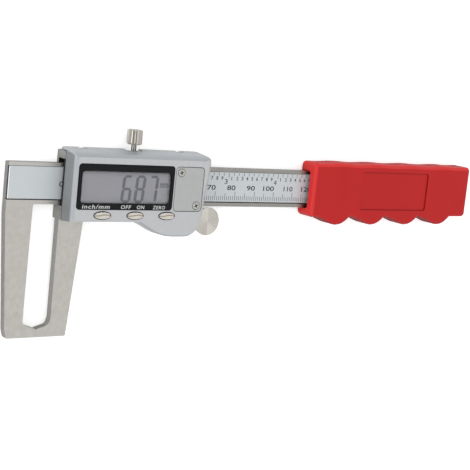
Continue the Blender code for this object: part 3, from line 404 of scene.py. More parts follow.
ROLLER_CENTRE = (66.8, -14.2, 0.0)
FINISHES = (
    Finish("brushed_steel", (198, 195, 189), metal=1.0, rough=0.34, clouds=0.07, cloud_size=2.4, speckle=0.09,
           grain=Grain.ALONG_Y, relief=0.004),
    # Painted light: the beam is painted darker towards the grip, for the light's falloff and the housing's shadow.
    FadedFinish("beam_steel", (198, 195, 190), metal=1.0, rough=0.34, cloud_size=6.0, speckle=0.04,
                grain=Grain.ALONG_X, stops=((0.0, (198, 195, 190)), (1.0, (158, 156, 152)))),
    Finish("milled_side", (158, 157, 154), metal=1.0, rough=0.42, clouds=0.14, cloud_size=1.2, speckle=0.18,
           grain=Grain.FINE, relief=0.006),
    # Painted light: a paler copy of the milled steel for the sides that face the light.
    Finish("milled_side_lit", (176, 175, 171), metal=1.0, rough=0.42, clouds=0.12, cloud_size=1.2, speckle=0.16,
           grain=Grain.FINE, relief=0.006),
    # Painted shade: a darker copy of the steel for the frame's shaded left end.
    Finish("shaded_end_steel", (142, 140, 136), metal=1.0, rough=0.45, clouds=0.12, cloud_size=1.2, speckle=0.16,
           grain=Grain.FINE, relief=0.006),
    Finish("ground_edge", (214, 211, 205), metal=1.0, rough=0.22, clouds=0.03, speckle=0.03, relief=0.001),
    Finish("satin_silver", (194, 196, 198), metal=0.55, rough=0.42, clouds=0.03, cloud_size=1.4,
           grain=Grain.FINE, relief=0.004),
    Finish("silver_edge", (192, 195, 197), metal=0.55, rough=0.36, clouds=0.02, speckle=0.02, grain=Grain.FINE,
           relief=0.002),
    # Painted shade: the housing's top band, darker towards the crease, and its underside and left fillet.
    FadedFinish("silver_shaded_band", (188, 192, 195), metal=0.55, rough=0.42, clouds=0.03, cloud_size=2.0,
                grain=Grain.ALONG_X, relief=0.004, axis="Z", ends=(5.0, 9.8),
                stops=((0.0, (188, 192, 195)), (1.0, (170, 174, 178)))),
    # Painted shade: a darker silver for the housing's ends and the lid's screw wells.
    Finish("silver_painted_shade", (148, 151, 153), metal=0.55, rough=0.45, clouds=0.03, grain=Grain.FINE, relief=0.005),
    Finish("battery_lid_silver", (180, 182, 181), metal=0.5, rough=0.42, clouds=0.04, cloud_size=2.5, speckle=0.07,
           grain=Grain.ALONG_Y, relief=0.004),
    Finish("label_plate", (201, 206, 209), metal=0.35, rough=0.48, clouds=0.02, speckle=0.03, grain=Grain.ALONG_X,
           relief=0.001),
    # Painted highlight on the scale strip's bevelled edge.
    Finish("label_edge", (224, 228, 230), metal=0.35, rough=0.4, clouds=0.02, speckle=0.02, relief=0.001),
    Finish("scale_ink", (36, 38, 41), rough=0.55, clouds=0.08, speckle=0.1, relief=0.001),
    Finish("grip_red", (186, 24, 25), clouds=0.03, cloud_size=14.0, speckle=0.02, relief=0.006, specular=0.25),
    # Painted light: a lighter red for the grip's top, left end and roundings, where the light falls.
    Finish("grip_red_lit", (212, 42, 40), rough=0.4, clouds=0.03, speckle=0.02, specular=0.3),
    # Painted shade: a darker red for the panel's outline, as the shade of a faint groove.
    Finish("grip_red_groove_shade", (152, 19, 21), speckle=0.04, specular=0.2),
    # Painted shade: a darker red for the mouth round the beam, the panel's step and the lobes' undersides.
    Finish("grip_red_shade", (126, 15, 17), rough=0.55, speckle=0.04, specular=0.2),
    Finish("bezel_black", (15, 16, 18), rough=0.38, clouds=0.1, speckle=0.06, grain=Grain.FINE, relief=0.001,
           specular=0.18),
    Finish("bezel_print", (205, 207, 207), clouds=0.04, relief=0.001),
    Finish("lens_plastic", (250, 251, 252), rough=0.04, rough_spread=0.01, clouds=0.0, speckle=0.0, relief=0.0002,
           more=(("Transmission Weight", 1.0), ("IOR", 1.35))),
    # Painted shadow: the display glass is darker at its top, under the bezel.
    FadedFinish("display_grey_top_shadow", (184, 182, 187), rough=0.35, clouds=0.015, speckle=0.012, grain=Grain.ALONG_Y,
                relief=0.0005, axis="Y", ends=(-7.0, 7.6),
                stops=((0.0, (188, 187, 191)), (0.78, (184, 182, 187)), (1.0, (166, 165, 171)))),
    Finish("display_segment", (122, 123, 134), rough=0.4, clouds=0.03, speckle=0.03, relief=0.0005),
    Finish("display_unit", (134, 135, 142), rough=0.4, clouds=0.03, speckle=0.03, relief=0.0005),
    KeyFinish("key_plate", (216, 210, 201), metal=0.8, rough=0.26, clouds=0.04, cloud_size=1.5,
              grain=Grain.ALONG_X, relief=0.004),
    Finish("screw_steel", (196, 194, 188), metal=1.0, rough=0.28, cloud_size=1.0, speckle=0.06, grain=Grain.FINE),
    Finish("ridge_shade", (170, 166, 159), metal=1.0, rough=0.34, clouds=0.08, cloud_size=1.5, speckle=0.08,
           grain=Grain.FINE),
    Finish("bright_nickel", (200, 197, 191), metal=1.0, rough=0.3, cloud_size=1.5, grain=Grain.FINE),
    Finish("dark_steel", (62, 62, 64), metal=0.9, rough=0.42, clouds=0.08, speckle=0.1, grain=Grain.FINE),
    Finish("recess_shadow", (34, 34, 36), metal=0.2, rough=0.7, clouds=0.1, speckle=0.1, grain=Grain.FINE,
           relief=0.002, specular=0.2),
    Finish("channel_shadow", (84, 84, 82), metal=0.4, rough=0.6, clouds=0.08, speckle=0.1, grain=Grain.ALONG_X,
           relief=0.002, specular=0.2),
    # The sensor plate's black mask, which also stands in for the shade in the gap at the housing's end.
    Finish("sensor_mask_and_gap_shade", (24, 25, 27), rough=0.55, clouds=0.08, speckle=0.08, grain=Grain.FINE, relief=0.002,
           specular=0.3),
    TurnedFinish("turned_steel", (206, 202, 194), metal=1.0, rough=0.27, clouds=0.03, speckle=0.04,
                 grain=Grain.FINE, relief=0.004, centre=ROLLER_CENTRE),
    # Bronze, darkened with painted shade for the gib's shadowed slot.
    Finish("gib_bronze", (84, 68, 46), metal=1.0, clouds=0.08, grain=Grain.ALONG_X),
    Finish("contact_brass", (196, 166, 96), metal=1.0, rough=0.3, clouds=0.06, grain=Grain.ALONG_X),
    Finish("cell_nickel", (206, 204, 198), metal=1.0, rough=0.25, clouds=0.04, grain=Grain.FINE),
    Finish("pad_rubber", (60, 62, 66), rough=0.8, clouds=0.08, speckle=0.08, relief=0.01),
    BoardFinish("circuit_board", (20, 84, 44), rough=0.4, clouds=0.06, speckle=0.04, relief=0.002),
)


# ---------------------------------------------------------------- bench


class Bench:
    """The few moves that every sub-assembly is shaped with, each on Blender's own operators."""

    known = {finish.name: finish for finish in FINISHES}
    made: dict[str, bpy.types.Material] = {}

    def pick(self, *pieces: Thing) -> None:
        """Selects only these pieces.

        Args:
            pieces: The pieces, of which the first becomes the active one.
        """
        bpy.ops.object.select_all(action="DESELECT")
        for piece in pieces:
            piece.select_set(True)
        bpy.context.view_layer.objects.active = pieces[0]

    @contextmanager
    def editing(self, piece: Thing) -> Iterator[None]:
        """Opens a piece in edit mode for the lines inside, and closes it after them.

        Args:
            piece: The piece.
        """
        self.pick(piece)
        bpy.ops.object.mode_set(mode="EDIT")
        yield
        bpy.ops.object.mode_set(mode="OBJECT")

    def choose(self, piece: Thing, kind: str, test: Callable[..., bool]) -> int:
        """In edit mode, selects the corners, edges or faces that pass a test, and nothing else.

        Args:
            piece: The piece in edit mode.
            kind: "verts", "edges" or "faces".
            test: Says whether one of them is taken.

        Returns:
            How many are selected.
        """
        bpy.ops.mesh.select_mode(type={"verts": "VERT", "edges": "EDGE", "faces": "FACE"}[kind])
        bpy.ops.mesh.select_all(action="DESELECT")
        mesh = bmesh.from_edit_mesh(piece.data)
        chosen = [item for item in getattr(mesh, kind) if test(item)]
        for item in chosen:
            item.select_set(True)
        mesh.select_flush_mode()
        bmesh.update_edit_mesh(piece.data)
        return len(chosen)

    def placed(self) -> Thing:
        """Applies the new primitive's place and size, and gives it."""
        bpy.ops.object.transform_apply(location=True, rotation=True, scale=True)
        return bpy.context.active_object

    def block(self, low: Point, high: Point) -> Thing:
        """Adds a block, for a piece to start from.

        Args:
            low: Its lowest corner, in millimetres on the tool.
            high: Its highest corner.

        Returns:
            The block, its place applied.
        """
        bpy.ops.object.select_all(action="DESELECT")
        a, b = place(*low), place(*high)
        bpy.ops.mesh.primitive_cube_add(size=1, location=(a + b) / 2, scale=b - a)
        return self.placed()

    def disc(self, centre: Point, radius: float, depth: float, sides: int, turn: Point = (0.0, 0.0, 0.0)) -> Thing:
        """Adds a disc, for a turned piece to start from.

        Args:
            centre: Its middle, in millimetres on the tool.
            radius: Its radius in millimetres.
            depth: Its thickness in millimetres.
            sides: How many sides it has.
            turn: Its turn in radians, from an axis towards the viewer.

        Returns:
            The disc, its place applied.
        """
        bpy.ops.object.select_all(action="DESELECT")
        bpy.ops.mesh.primitive_cylinder_add(vertices=sides, radius=radius * MM, depth=depth * MM,
                                            location=place(*centre), rotation=turn)
        return self.placed()

    def copy_of(self, node: str) -> Thing:
        """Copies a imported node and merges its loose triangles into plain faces.

        Args:
            node: The node's name.

        Returns:
            The copy.
        """
        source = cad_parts[node]
        piece = source.copy()
        piece.data = source.data.copy()
        bpy.context.scene.collection.objects.link(piece)
        world = piece.matrix_world.copy()
        piece.parent = None
        piece.matrix_world = world
        self.pick(piece)
        bpy.ops.object.transform_apply(location=True, rotation=True, scale=True)
        bpy.ops.mesh.customdata_custom_splitnormals_clear()
        with self.editing(piece):
            bpy.ops.mesh.select_all(action="SELECT")
            bpy.ops.mesh.remove_doubles(threshold=DOUBLE)
            bpy.ops.mesh.dissolve_limited(angle_limit=math.radians(FLAT))
        return piece

    def extent(self, node: str) -> tuple[Vector, Vector]:
        """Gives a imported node's lowest and highest corner, in millimetres on the tool."""
        low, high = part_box(node)
        return low / MM + ORIGIN, high / MM + ORIGIN

    def round_edges(self, piece: Thing, width: float, segments: int, angle: float, finish: str = "") -> None:
        """Rounds a piece's sharp edges with a Bevel modifier and applies it.

        Args:
            piece: The piece.
            width: The rounding's width in millimetres.
            segments: How many steps it has.
            angle: The least angle in degrees that counts as sharp.
            finish: The finish of the rounding's faces, or none for their neighbours'.
        """
        self.pick(piece)
        bevel = piece.modifiers.new("edges", "BEVEL")
        bevel.width, bevel.segments, bevel.material = width * MM, segments, self.slot_of(piece, finish)
        bevel.limit_method, bevel.angle_limit = "ANGLE", math.radians(angle)
        bevel.miter_outer = "MITER_ARC"
        bpy.ops.object.modifier_apply(modifier=bevel.name)

    def round_plate(self, piece: Thing, width: float, finish: str, spare: Callable[[Vector], bool],
                    angle: float = 30.0) -> None:
        """Rounds a steel plate's edges, except those whose middle is spared.

        Args:
            piece: The plate.
            width: The rounding's width in millimetres.
            finish: The finish of the rounding's faces.
            spare: Says whether an edge with this middle stays sharp.
            angle: The least angle in degrees that counts as sharp.
        """
        sharp, slot = math.radians(angle), self.slot_of(piece, finish)
        with self.editing(piece):
            self.choose(piece, "edges", lambda e: len(e.link_faces) == 2 and e.calc_face_angle() > sharp
                        and not spare((e.verts[0].co + e.verts[1].co) / 2))
            bpy.ops.mesh.bevel(offset=width * MM, segments=2, affect="EDGES", clamp_overlap=True, material=slot,
                               miter_outer="ARC")

    def reround(self, piece: Thing, low: Pair, high: Pair, now: float, wanted: float) -> None:
        """Gives the rounded corners of an upright rectangle another radius.

        Args:
            piece: The piece.
            low: The rectangle's lower left corner in millimetres.
            high: Its upper right corner.
            now: The radius that its corners have.
            wanted: The radius that they get.
        """
        share = wanted / now
        for x, side_x in ((low[0], 1), (high[0], -1)):
            for y, side_y in ((low[1], 1), (high[1], -1)):
                corner = place(x, y, 0)
                for vert in piece.data.vertices:
                    across = (vert.co.x - corner.x) * side_x / MM
                    up = (vert.co.y - corner.y) * side_y / MM
                    gap = math.hypot(across - now, up - now) - now
                    if abs(gap) < NEAR and max(across, up) < now + NEAR / 2:
                        vert.co.x = corner.x + side_x * across * share * MM
                        vert.co.y = corner.y + side_y * up * share * MM

    def slide(self, piece: Thing, test: Callable[[Vector], bool], step: Point) -> None:
        """Moves the corners whose places pass a test.

        Args:
            piece: The piece.
            test: Says whether a place is taken.
            step: The move in millimetres.
        """
        with self.editing(piece):
            if self.choose(piece, "verts", lambda v: test(v.co)):
                bpy.ops.transform.translate(value=Vector(step) * MM)

    def repeat(self, first: Thing, moves: Sequence[Matrix]) -> list[Thing]:
        """Copies a piece, each copy with its own mesh, and removes the first one.

        Args:
            first: The piece to copy.
            moves: How each copy is moved from it.

        Returns:
            The copies.
        """
        copies = []
        for move in moves:
            copy = first.copy()
            copy.data = first.data.copy()
            copy.data.transform(move)
            bpy.context.scene.collection.objects.link(copy)
            copies.append(copy)
        bpy.data.objects.remove(first, do_unlink=True)
        return copies

    def repaint(self, piece: Thing, finish: str, test: Callable[[Vector, Vector], bool]) -> None:
        """Gives another finish to some faces.

        Args:
            piece: The piece, dressed with the finish already.
            finish: The finish's name.
            test: Says whether a face with this middle and this normal is taken.
        """
        slot = self.slot_of(piece, finish)
        for face in piece.data.polygons:
            if test(face.center, face.normal):
                face.material_index = slot

    def carve(self, piece: Thing, *tools: Thing, how: str = "DIFFERENCE") -> None:
        """Cuts tools out of a piece, or keeps only what lies in them, and removes them.

        Args:
            piece: The piece to cut.
            tools: The closed shapes.
            how: The Boolean modifier's operation.
        """
        for tool in tools:
            self.pick(piece)
            cut = piece.modifiers.new("cut", "BOOLEAN")
            cut.operation, cut.solver, cut.object = how, "EXACT", tool
            bpy.ops.object.modifier_apply(modifier=cut.name)
            bpy.data.objects.remove(tool, do_unlink=True)

    def merge(self, pieces: Sequence[Thing]) -> Thing:
        """Joins meshes.

        Args:
            pieces: The meshes.

        Returns:
            The first one, with the others in it.
        """
        self.pick(*pieces)
        bpy.ops.object.join()
        return bpy.context.active_object

    def lettering(self, words: str, low: Pair, size: Pair, level: float, thick: float, slant: float = 0.0,
                  weight: float = 0.0, spacing: float = 1.0) -> Thing:
        """Makes raised lettering that fills a rectangle on the tool's front.

        Args:
            words: The generic words or figures.
            low: The rectangle's lower left corner in millimetres.
            size: Its width and height.
            level: The height of the lettering's underside.
            thick: How far it is raised.
            slant: How far its top leans, as a share of its height.
            weight: How much bolder it is drawn.
            spacing: The letters' spacing.

        Returns:
            The lettering as a mesh.
        """
        bpy.ops.object.select_all(action="DESELECT")
        bpy.ops.object.text_add(location=(0, 0, 0))
        text = bpy.context.active_object.data
        text.body, text.size, text.resolution_u, text.extrude = words, 1.0, 4, 0.5
        text.offset, text.shear, text.space_character = weight, slant, spacing
        bpy.ops.object.convert(target="MESH")
        piece = bpy.context.active_object
        corners = [v.co for v in piece.data.vertices]
        lows = [min(c[k] for c in corners) for k in range(3)]
        highs = [max(c[k] for c in corners) for k in range(3)]
        scales = [size[0] / (highs[0] - lows[0]), size[1] / (highs[1] - lows[1]), thick]
        start = place(low[0], low[1], level)
        for vert in piece.data.vertices:
            for k in range(3):
                vert.co[k] = start[k] + (vert.co[k] - lows[k]) * scales[k] * MM
        self.close(piece)
        return piece

    def close(self, piece: Thing) -> None:
        """Merges a piece's doubles and turns every face outwards.

        Args:
            piece: The piece.
        """
        with self.editing(piece):
            bpy.ops.mesh.select_all(action="SELECT")
            bpy.ops.mesh.remove_doubles(threshold=1e-7)
            bpy.ops.mesh.normals_make_consistent(inside=False)

    def finish(self, name: str) -> bpy.types.Material:
        """Gives a finish's material, made when it is first asked for.

        Args:
            name: The finish's name.

        Returns:
            The material.
        """
        if name not in self.made:
            self.made[name] = self.known[name].make()
        return self.made[name]

    def dress(self, piece: Thing, *finishes: str) -> None:
        """Gives a new piece its finishes, one material slot for each.

        Args:
            piece: The piece.
            finishes: The finishes' names, the one of most faces first.
        """
        piece.data.materials.clear()
        for name in finishes:
            piece.data.materials.append(self.finish(name))

    def slot_of(self, piece: Thing, finish: str) -> int:
        """Gives the material slot of a piece that holds a finish, or -1 for no finish."""
        return list(piece.data.materials).index(self.finish(finish)) if finish else -1

    def dress_node(self, node: str, finish: str) -> None:
        """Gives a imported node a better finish, its mesh left alone.

        Args:
            node: The node's name.
            finish: The finish's name.
        """
        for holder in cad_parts[node].material_slots:
            holder.material = self.finish(finish)
        log.info("%s dressed in %s", node, finish)

    def fit(self, piece: Thing, name: str, body: str, slot: str, *nodes: str, smooth: float = 35.0) -> None:
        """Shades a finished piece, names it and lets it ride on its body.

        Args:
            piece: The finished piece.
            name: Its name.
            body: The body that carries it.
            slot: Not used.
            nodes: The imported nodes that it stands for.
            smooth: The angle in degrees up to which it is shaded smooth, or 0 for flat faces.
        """
        if smooth:
            self.pick(piece)
            bpy.ops.object.shade_smooth_by_angle(angle=math.radians(smooth))
            weighted = piece.modifiers.new("flats", "WEIGHTED_NORMAL")
            weighted.keep_sharp = True
            bpy.ops.object.modifier_apply(modifier=weighted.name)
        piece.name = piece.data.name = name
        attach(piece, body)
        if nodes:
            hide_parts(*nodes)
        log.info("%s: %d faces, rides on %s", name, len(piece.data.polygons), body)

    def set_screw(self, node: str, name: str, body: str, tool: Thing, edge: float) -> None:
        """Cuts a driver's recess into a set screw.

        Args:
            node: The screw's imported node.
            name: The new piece's name.
            body: The body that carries it.
            tool: The recess's shape.
            edge: The rounding of the screw's edges.
        """
        screw = self.copy_of(node)
        self.carve(screw, tool)
        self.dress(screw, "dark_steel")
        self.round_edges(screw, edge, segments=2, angle=35.0)
        self.fit(screw, name, body, "black_steel", node)


# ---------------------------------------------------------------- the beam


@dataclass
class Beam(Bench):
    """The steel beam with its fixed jaw, and the scale strip with its printed marks."""

    edge: float = 0.22
    # How far the jaw's contact edge moves to the other jaw, and where that edge lies.
    meet: float = 0.13
    contact_wide: float = 0.3
    contact: float = -7.3
    contact_low: float = -50.0
    tip: float = -7.15
    channel_low: Point = (-23.3, -6.6, -1.2)
    channel_high: Point = (129.2, 6.8, -0.05)
    jaw_top: float = -8.4
    strip: Pair = (-5.6, 6.3)
    label_drop: float = 0.42
    label_lift: float = 0.17
    # The width of the strip's edge that carries the painted highlight.
    label_edge: float = 0.18
    print_level: float = 0.0
    print_thick: float = 0.02
    ink_weight: float = 0.012
    # The millimetre scale: its marks' ends, by how round the number is, and its figures' base and height.
    last_mm: int = 127
    mm_low: float = -5.4
    mm_tops: tuple[float, float, float] = (-3.6, -2.4, -1.6)
    mm_stroke: float = 0.19
    mm_figure: Pair = (-1.1, 2.05)
    mm_width: float = 4.2
    mm_widths: dict[int, float] = field(default_factory=lambda: {10: 3.9, 100: 5.66, 110: 4.8, 120: 5.3})
    mm_zero: Pair = (-2.1, 1.7)
    # The inch scale: for each kind of figure its left side from the mark, base and height, and its widths for 1
    # and for the others.
    last_tenth: int = 49
    inch_high: float = 6.2
    inch_lows: Pair = (5.0, 4.0)
    inch_stroke: float = 0.2
    inch_figure: Point = (-2.0, 1.5, 2.1)
    inch_widths: Pair = (0.62, 1.5)
    tenth_figure: Point = (-1.25, 3.15, 1.5)
    tenth_widths: Pair = (0.3, 0.95)

    def build(self) -> None:
        """Makes the beam and everything on it."""
        beam = self.copy_of("beam_with_fixed_jaw")
        self.dress(beam, "beam_steel", "ground_edge", "brushed_steel", "milled_side", "channel_shadow")
        contact, tips, jaw = at("X", self.contact), at("Y", self.contact_low), at("Y", self.jaw_top)
        low, high = place(*self.channel_low), place(*self.channel_high)

        def spared(middle: Vector) -> bool:
            """Keeps the jaw's contact edges and the scale's channel sharp."""
            on_contact = abs(middle.x - contact) < self.contact_wide * MM and middle.y < tips
            return on_contact or (low.y < middle.y < high.y and low.z < middle.z and middle.x < high.x)

        self.slide(beam, lambda c: near(c.x, at("X", self.tip)) and c.y < tips, (self.meet, 0, 0))
        self.round_plate(beam, self.edge, "ground_edge", spared)
        with self.editing(beam):
            bpy.ops.mesh.select_all(action="SELECT")
            bpy.ops.mesh.bisect(plane_co=(0, jaw, 0), plane_no=(0, 1, 0))
        self.repaint(beam, "brushed_steel", lambda c, n: c.y < jaw and abs(n.z) > FACING)
        self.repaint(beam, "milled_side", lambda c, n: abs(n.z) < ACROSS)
        self.repaint(beam, "channel_shadow", lambda c, n: inside(c, low, high))
        self.fit(beam, "beam_and_fixed_jaw", "beam", "brushed_steel", "beam_with_fixed_jaw")
        self.label()
        self.marks()
        self.figures()

    def label(self) -> None:
        """Makes the scale's strip with its faintly bevelled edge, which has a highlight painted on it."""
        strip = self.copy_of("scale_strip")
        low, high = (at("Y", y) for y in self.strip)
        self.slide(strip, lambda c: near(c.y, low), (0, -self.label_drop, 0))
        self.slide(strip, lambda c: near(c.y, high), (0, self.label_lift, 0))
        self.dress(strip, "label_plate", "label_edge")
        self.round_edges(strip, self.label_edge, segments=1, angle=40.0, finish="label_edge")
        self.fit(strip, "scale_label", "beam", "scale_label", "scale_strip", smooth=20.0)

    def row(self, low: float, high: float, width: float, places: Sequence[float]) -> list[Thing]:
        """Prints one kind of mark along the beam.

        Args:
            low: The marks' lower end.
            high: Their upper end.
            width: Their width.
            places: Where they stand, in millimetres.

        Returns:
            The marks.
        """
        level, half = self.print_level, width / 2
        first = self.block((-half, low, level), (half, high, level + self.print_thick))
        return self.repeat(first, [Matrix.Translation((x * MM, 0, 0)) for x in places])

    def marks(self) -> None:
        """Prints the millimetre marks below and the inch marks above."""
        marks: list[Thing] = []
        for level, top in enumerate(self.mm_tops):
            marks += self.row(self.mm_low, top, self.mm_stroke,
                              [n for n in range(self.last_mm + 1) if (n % 5 == 0) + (n % 10 == 0) == level])
        for level, low in enumerate(self.inch_lows):
            marks += self.row(low, self.inch_high, self.inch_stroke,
                              [n * INCH_TENTH for n in range(self.last_tenth + 1) if (n % 10 == 0) == level])
        self.print_all(marks, "scale_marks")

    def print_all(self, prints: list[Thing], name: str) -> None:
        """Joins printed marks or figures into one piece.

        Args:
            prints: The marks or figures.
            name: The piece's name.
        """
        piece = self.merge(prints)
        self.dress(piece, "scale_ink")
        self.fit(piece, name, "beam", "scale_label", smooth=0)

    def figures(self) -> None:
        """Prints the figures of both scales."""
        base, high = self.mm_figure
        rows = []
        for n in range(10, self.last_mm, 10):
            width = self.mm_widths.get(n, self.mm_width)
            rows.append((str(n), (n - width, base), (width, high), self.ink_weight))
        rows.append(("0", (self.mm_zero[0], base), (self.mm_zero[1], high), self.ink_weight))
        for n in range(1, self.last_tenth):
            whole = n % 10 == 0
            figure = n // 10 if whole else n % 10
            left, low, high = self.inch_figure if whole else self.tenth_figure
            width = (self.inch_widths if whole else self.tenth_widths)[figure > 1]
            rows.append((str(figure), (n * INCH_TENTH + left, low), (width, high), 0.0 if whole else self.ink_weight))
        self.print_all([self.lettering(words, low, size, self.print_level, self.print_thick, weight=weight)
                        for words, low, size, weight in rows], "scale_figures")


@dataclass
class Grip(Bench):
    """The moulded red grip and its set screw."""

    edge: float = 0.24
    panel_low: Pair = (144.9, -8.1)
    panel_high: Pair = (184.1, 9.0)
    panel_floor: float = 4.0
    panel_rise: float = 0.55
    # The corners' radius in the solid, and the one wanted.
    panel_corner: Pair = (2.2, 1.0)
    # The width of the panel's outline, painted as a groove's shade.
    panel_line: float = 0.34
    panel_around: float = 1.0
    panel_rim: float = 0.1
    end: float = 117.5
    # How far in the left end is painted lit, and above and in front of which the top is painted lit.
    end_band: float = 2.0
    shoulder: Pair = (9.6, 3.4)
    # The mouth round the beam is painted in shade, and so are the lobes' undersides below the valley.
    mouth_low: Point = (117.55, -8.4, -4.5)
    mouth_high: Point = (127.4, 8.4, 1.7)
    valley: float = -11.0
    # The radius and depth of the set screw's socket.
    hexagon: Pair = (0.7, 2.4)
    screw_edge: float = 0.1

    def build(self) -> None:
        """Makes the grip and its screw."""
        grip = self.copy_of("handle_grip")
        a, b = place(*self.panel_low, self.panel_floor), place(*self.panel_high, 0)
        level, line = a.z + self.panel_rise * MM, self.panel_line * MM
        around, rim = self.panel_around * MM, self.panel_rim * MM

        def within(c: Vector, more: float) -> bool:
            """Says whether a place lies on the panel, or no further than this beside it."""
            return a.x - more < c.x < b.x + more and a.y - more < c.y < b.y + more

        self.slide(grip, lambda c: near(c.z, a.z) and within(c, around), (0, 0, self.panel_rise))
        self.reround(grip, self.panel_low, self.panel_high, *self.panel_corner)
        with self.editing(grip):
            self.choose(grip, "faces", lambda f: f.normal.z > FACING and near(f.calc_center_median().z, level))
            bpy.ops.mesh.inset(thickness=line)
        self.dress(grip, "grip_red", "grip_red_lit", "grip_red_shade", "grip_red_groove_shade")
        # The panel's outline is painted as a groove's shade.
        self.repaint(grip, "grip_red_groove_shade", lambda c, n: n.z > FACING and near(c.z, level) and a.x < c.x < b.x
                     and min(c.x - a.x, b.x - c.x, c.y - a.y, b.y - c.y) < line)
        # Painted light: the top and the left end are painted lighter, as the sides that the light falls on.
        top, front = at("Y", self.shoulder[0]), at("Z", self.shoulder[1])
        self.repaint(grip, "grip_red_lit", lambda c, n: n.z > 0.1 and n.y > 0.12 and c.z > front and c.y > top)
        band = at("X", self.end + self.end_band)
        self.repaint(grip, "grip_red_lit", lambda c, n: n.x < -0.1 and c.x < band and n.z > -ACROSS)
        # Painted shade: in the mouth round the beam, on the panel's step and under the lobes.
        low, high = place(*self.mouth_low), place(*self.mouth_high)
        self.repaint(grip, "grip_red_shade", lambda c, n: inside(c, low, high))
        self.repaint(grip, "grip_red_shade", lambda c, n: within(c, rim) and c.z > a.z and abs(n.z) < STEEP)
        valley = at("Y", self.valley)
        self.repaint(grip, "grip_red_shade", lambda c, n: c.y < valley and n.y < -ACROSS and abs(n.z) < ACROSS
                     and n.x < 0.1)
        # The roundings get the painted highlight.
        self.round_edges(grip, self.edge, segments=2, angle=40.0, finish="grip_red_lit")
        self.fit(grip, "grip", "beam", "red_plastic", "handle_grip", smooth=40.0)
        low, high = self.extent("handle_set_screw")
        top = ((low.x + high.x) / 2, high.y, (low.z + high.z) / 2)
        recess = self.disc(top, *self.hexagon, 6, (math.pi / 2, 0, 0))
        self.set_screw("handle_set_screw", "grip_set_screw", "beam", recess, self.screw_edge)


# ---------------------------------------------------------------- the slider


@dataclass
class CrossScrew(Bench):
    """A cross-head screw, seen from the front or from the back."""

    node: str
    middle: Pair
    face: float
    # The head's radius and height, and the shank's radius and the screw's whole length.
    head: Pair
    shank: Pair
    # 1 for a head that looks to the front, -1 to the back.
    out: int = 1
    finish_name: str = "screw_steel"
    slot: str = "bright_steel"
    turn: float = 0.35
    edge: float = 0.14
    sides: int = 36
    # Half a blade's length and width as shares of the head's radius, and its depth as one of its height.
    blade: Point = (0.56, 0.14, 0.7)
    # The recess is painted in shade within this share of the radius, and from this depth on.
    dark: Pair = (0.72, 0.03)

    def build(self) -> None:
        """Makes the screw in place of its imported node."""
        (x, y), (radius, height) = self.middle, self.head
        screw = self.disc((x, y, self.face - self.out * height / 2), radius, height, self.sides)
        rim, centre = at("Z", self.face), place(x, y, 0)
        with self.editing(screw):
            self.choose(screw, "faces", lambda f: f.normal.z * self.out < -FACING)
            bpy.ops.mesh.inset(thickness=(radius - self.shank[0]) * MM)
            bpy.ops.mesh.extrude_region_move(TRANSFORM_OT_translate={
                "value": (0, 0, -self.out * (self.shank[1] - height) * MM)})
            self.choose(screw, "edges", lambda e: all(abs(v.co.z - rim) < 1e-6 for v in e.verts))
            bpy.ops.mesh.bevel(offset=self.edge * MM, segments=3, affect="EDGES")
        self.carve(screw, *self.cross())
        self.dress(screw, self.finish_name, "recess_shadow")
        reach, sunk = self.dark[0] * radius * MM, rim - self.out * self.dark[1] * MM
        self.repaint(screw, "recess_shadow", lambda c, n: (c.z - sunk) * self.out < 0 and apart(c, centre) < reach
                     and abs(c.z - rim) < height * MM)
        self.fit(screw, f"{self.node}_cross_head", "slider", self.slot, self.node)

    def cross(self) -> list[Thing]:
        """Makes the two crossed blades that cut the recess.

        Returns:
            The blades.
        """
        (x, y), (radius, height) = self.middle, self.head
        long, wide, deep = radius * self.blade[0], radius * self.blade[1], height * self.blade[2]
        centre = Matrix.Translation(place(x, y, 0))
        blade = self.block((x - long, y - wide, self.face - deep), (x + long, y + wide, self.face + deep))
        return self.repeat(blade, [centre @ Matrix.Rotation(self.turn + quarter * math.pi / 2, 4, "Z")
                                   @ centre.inverted() for quarter in (0, 1)])


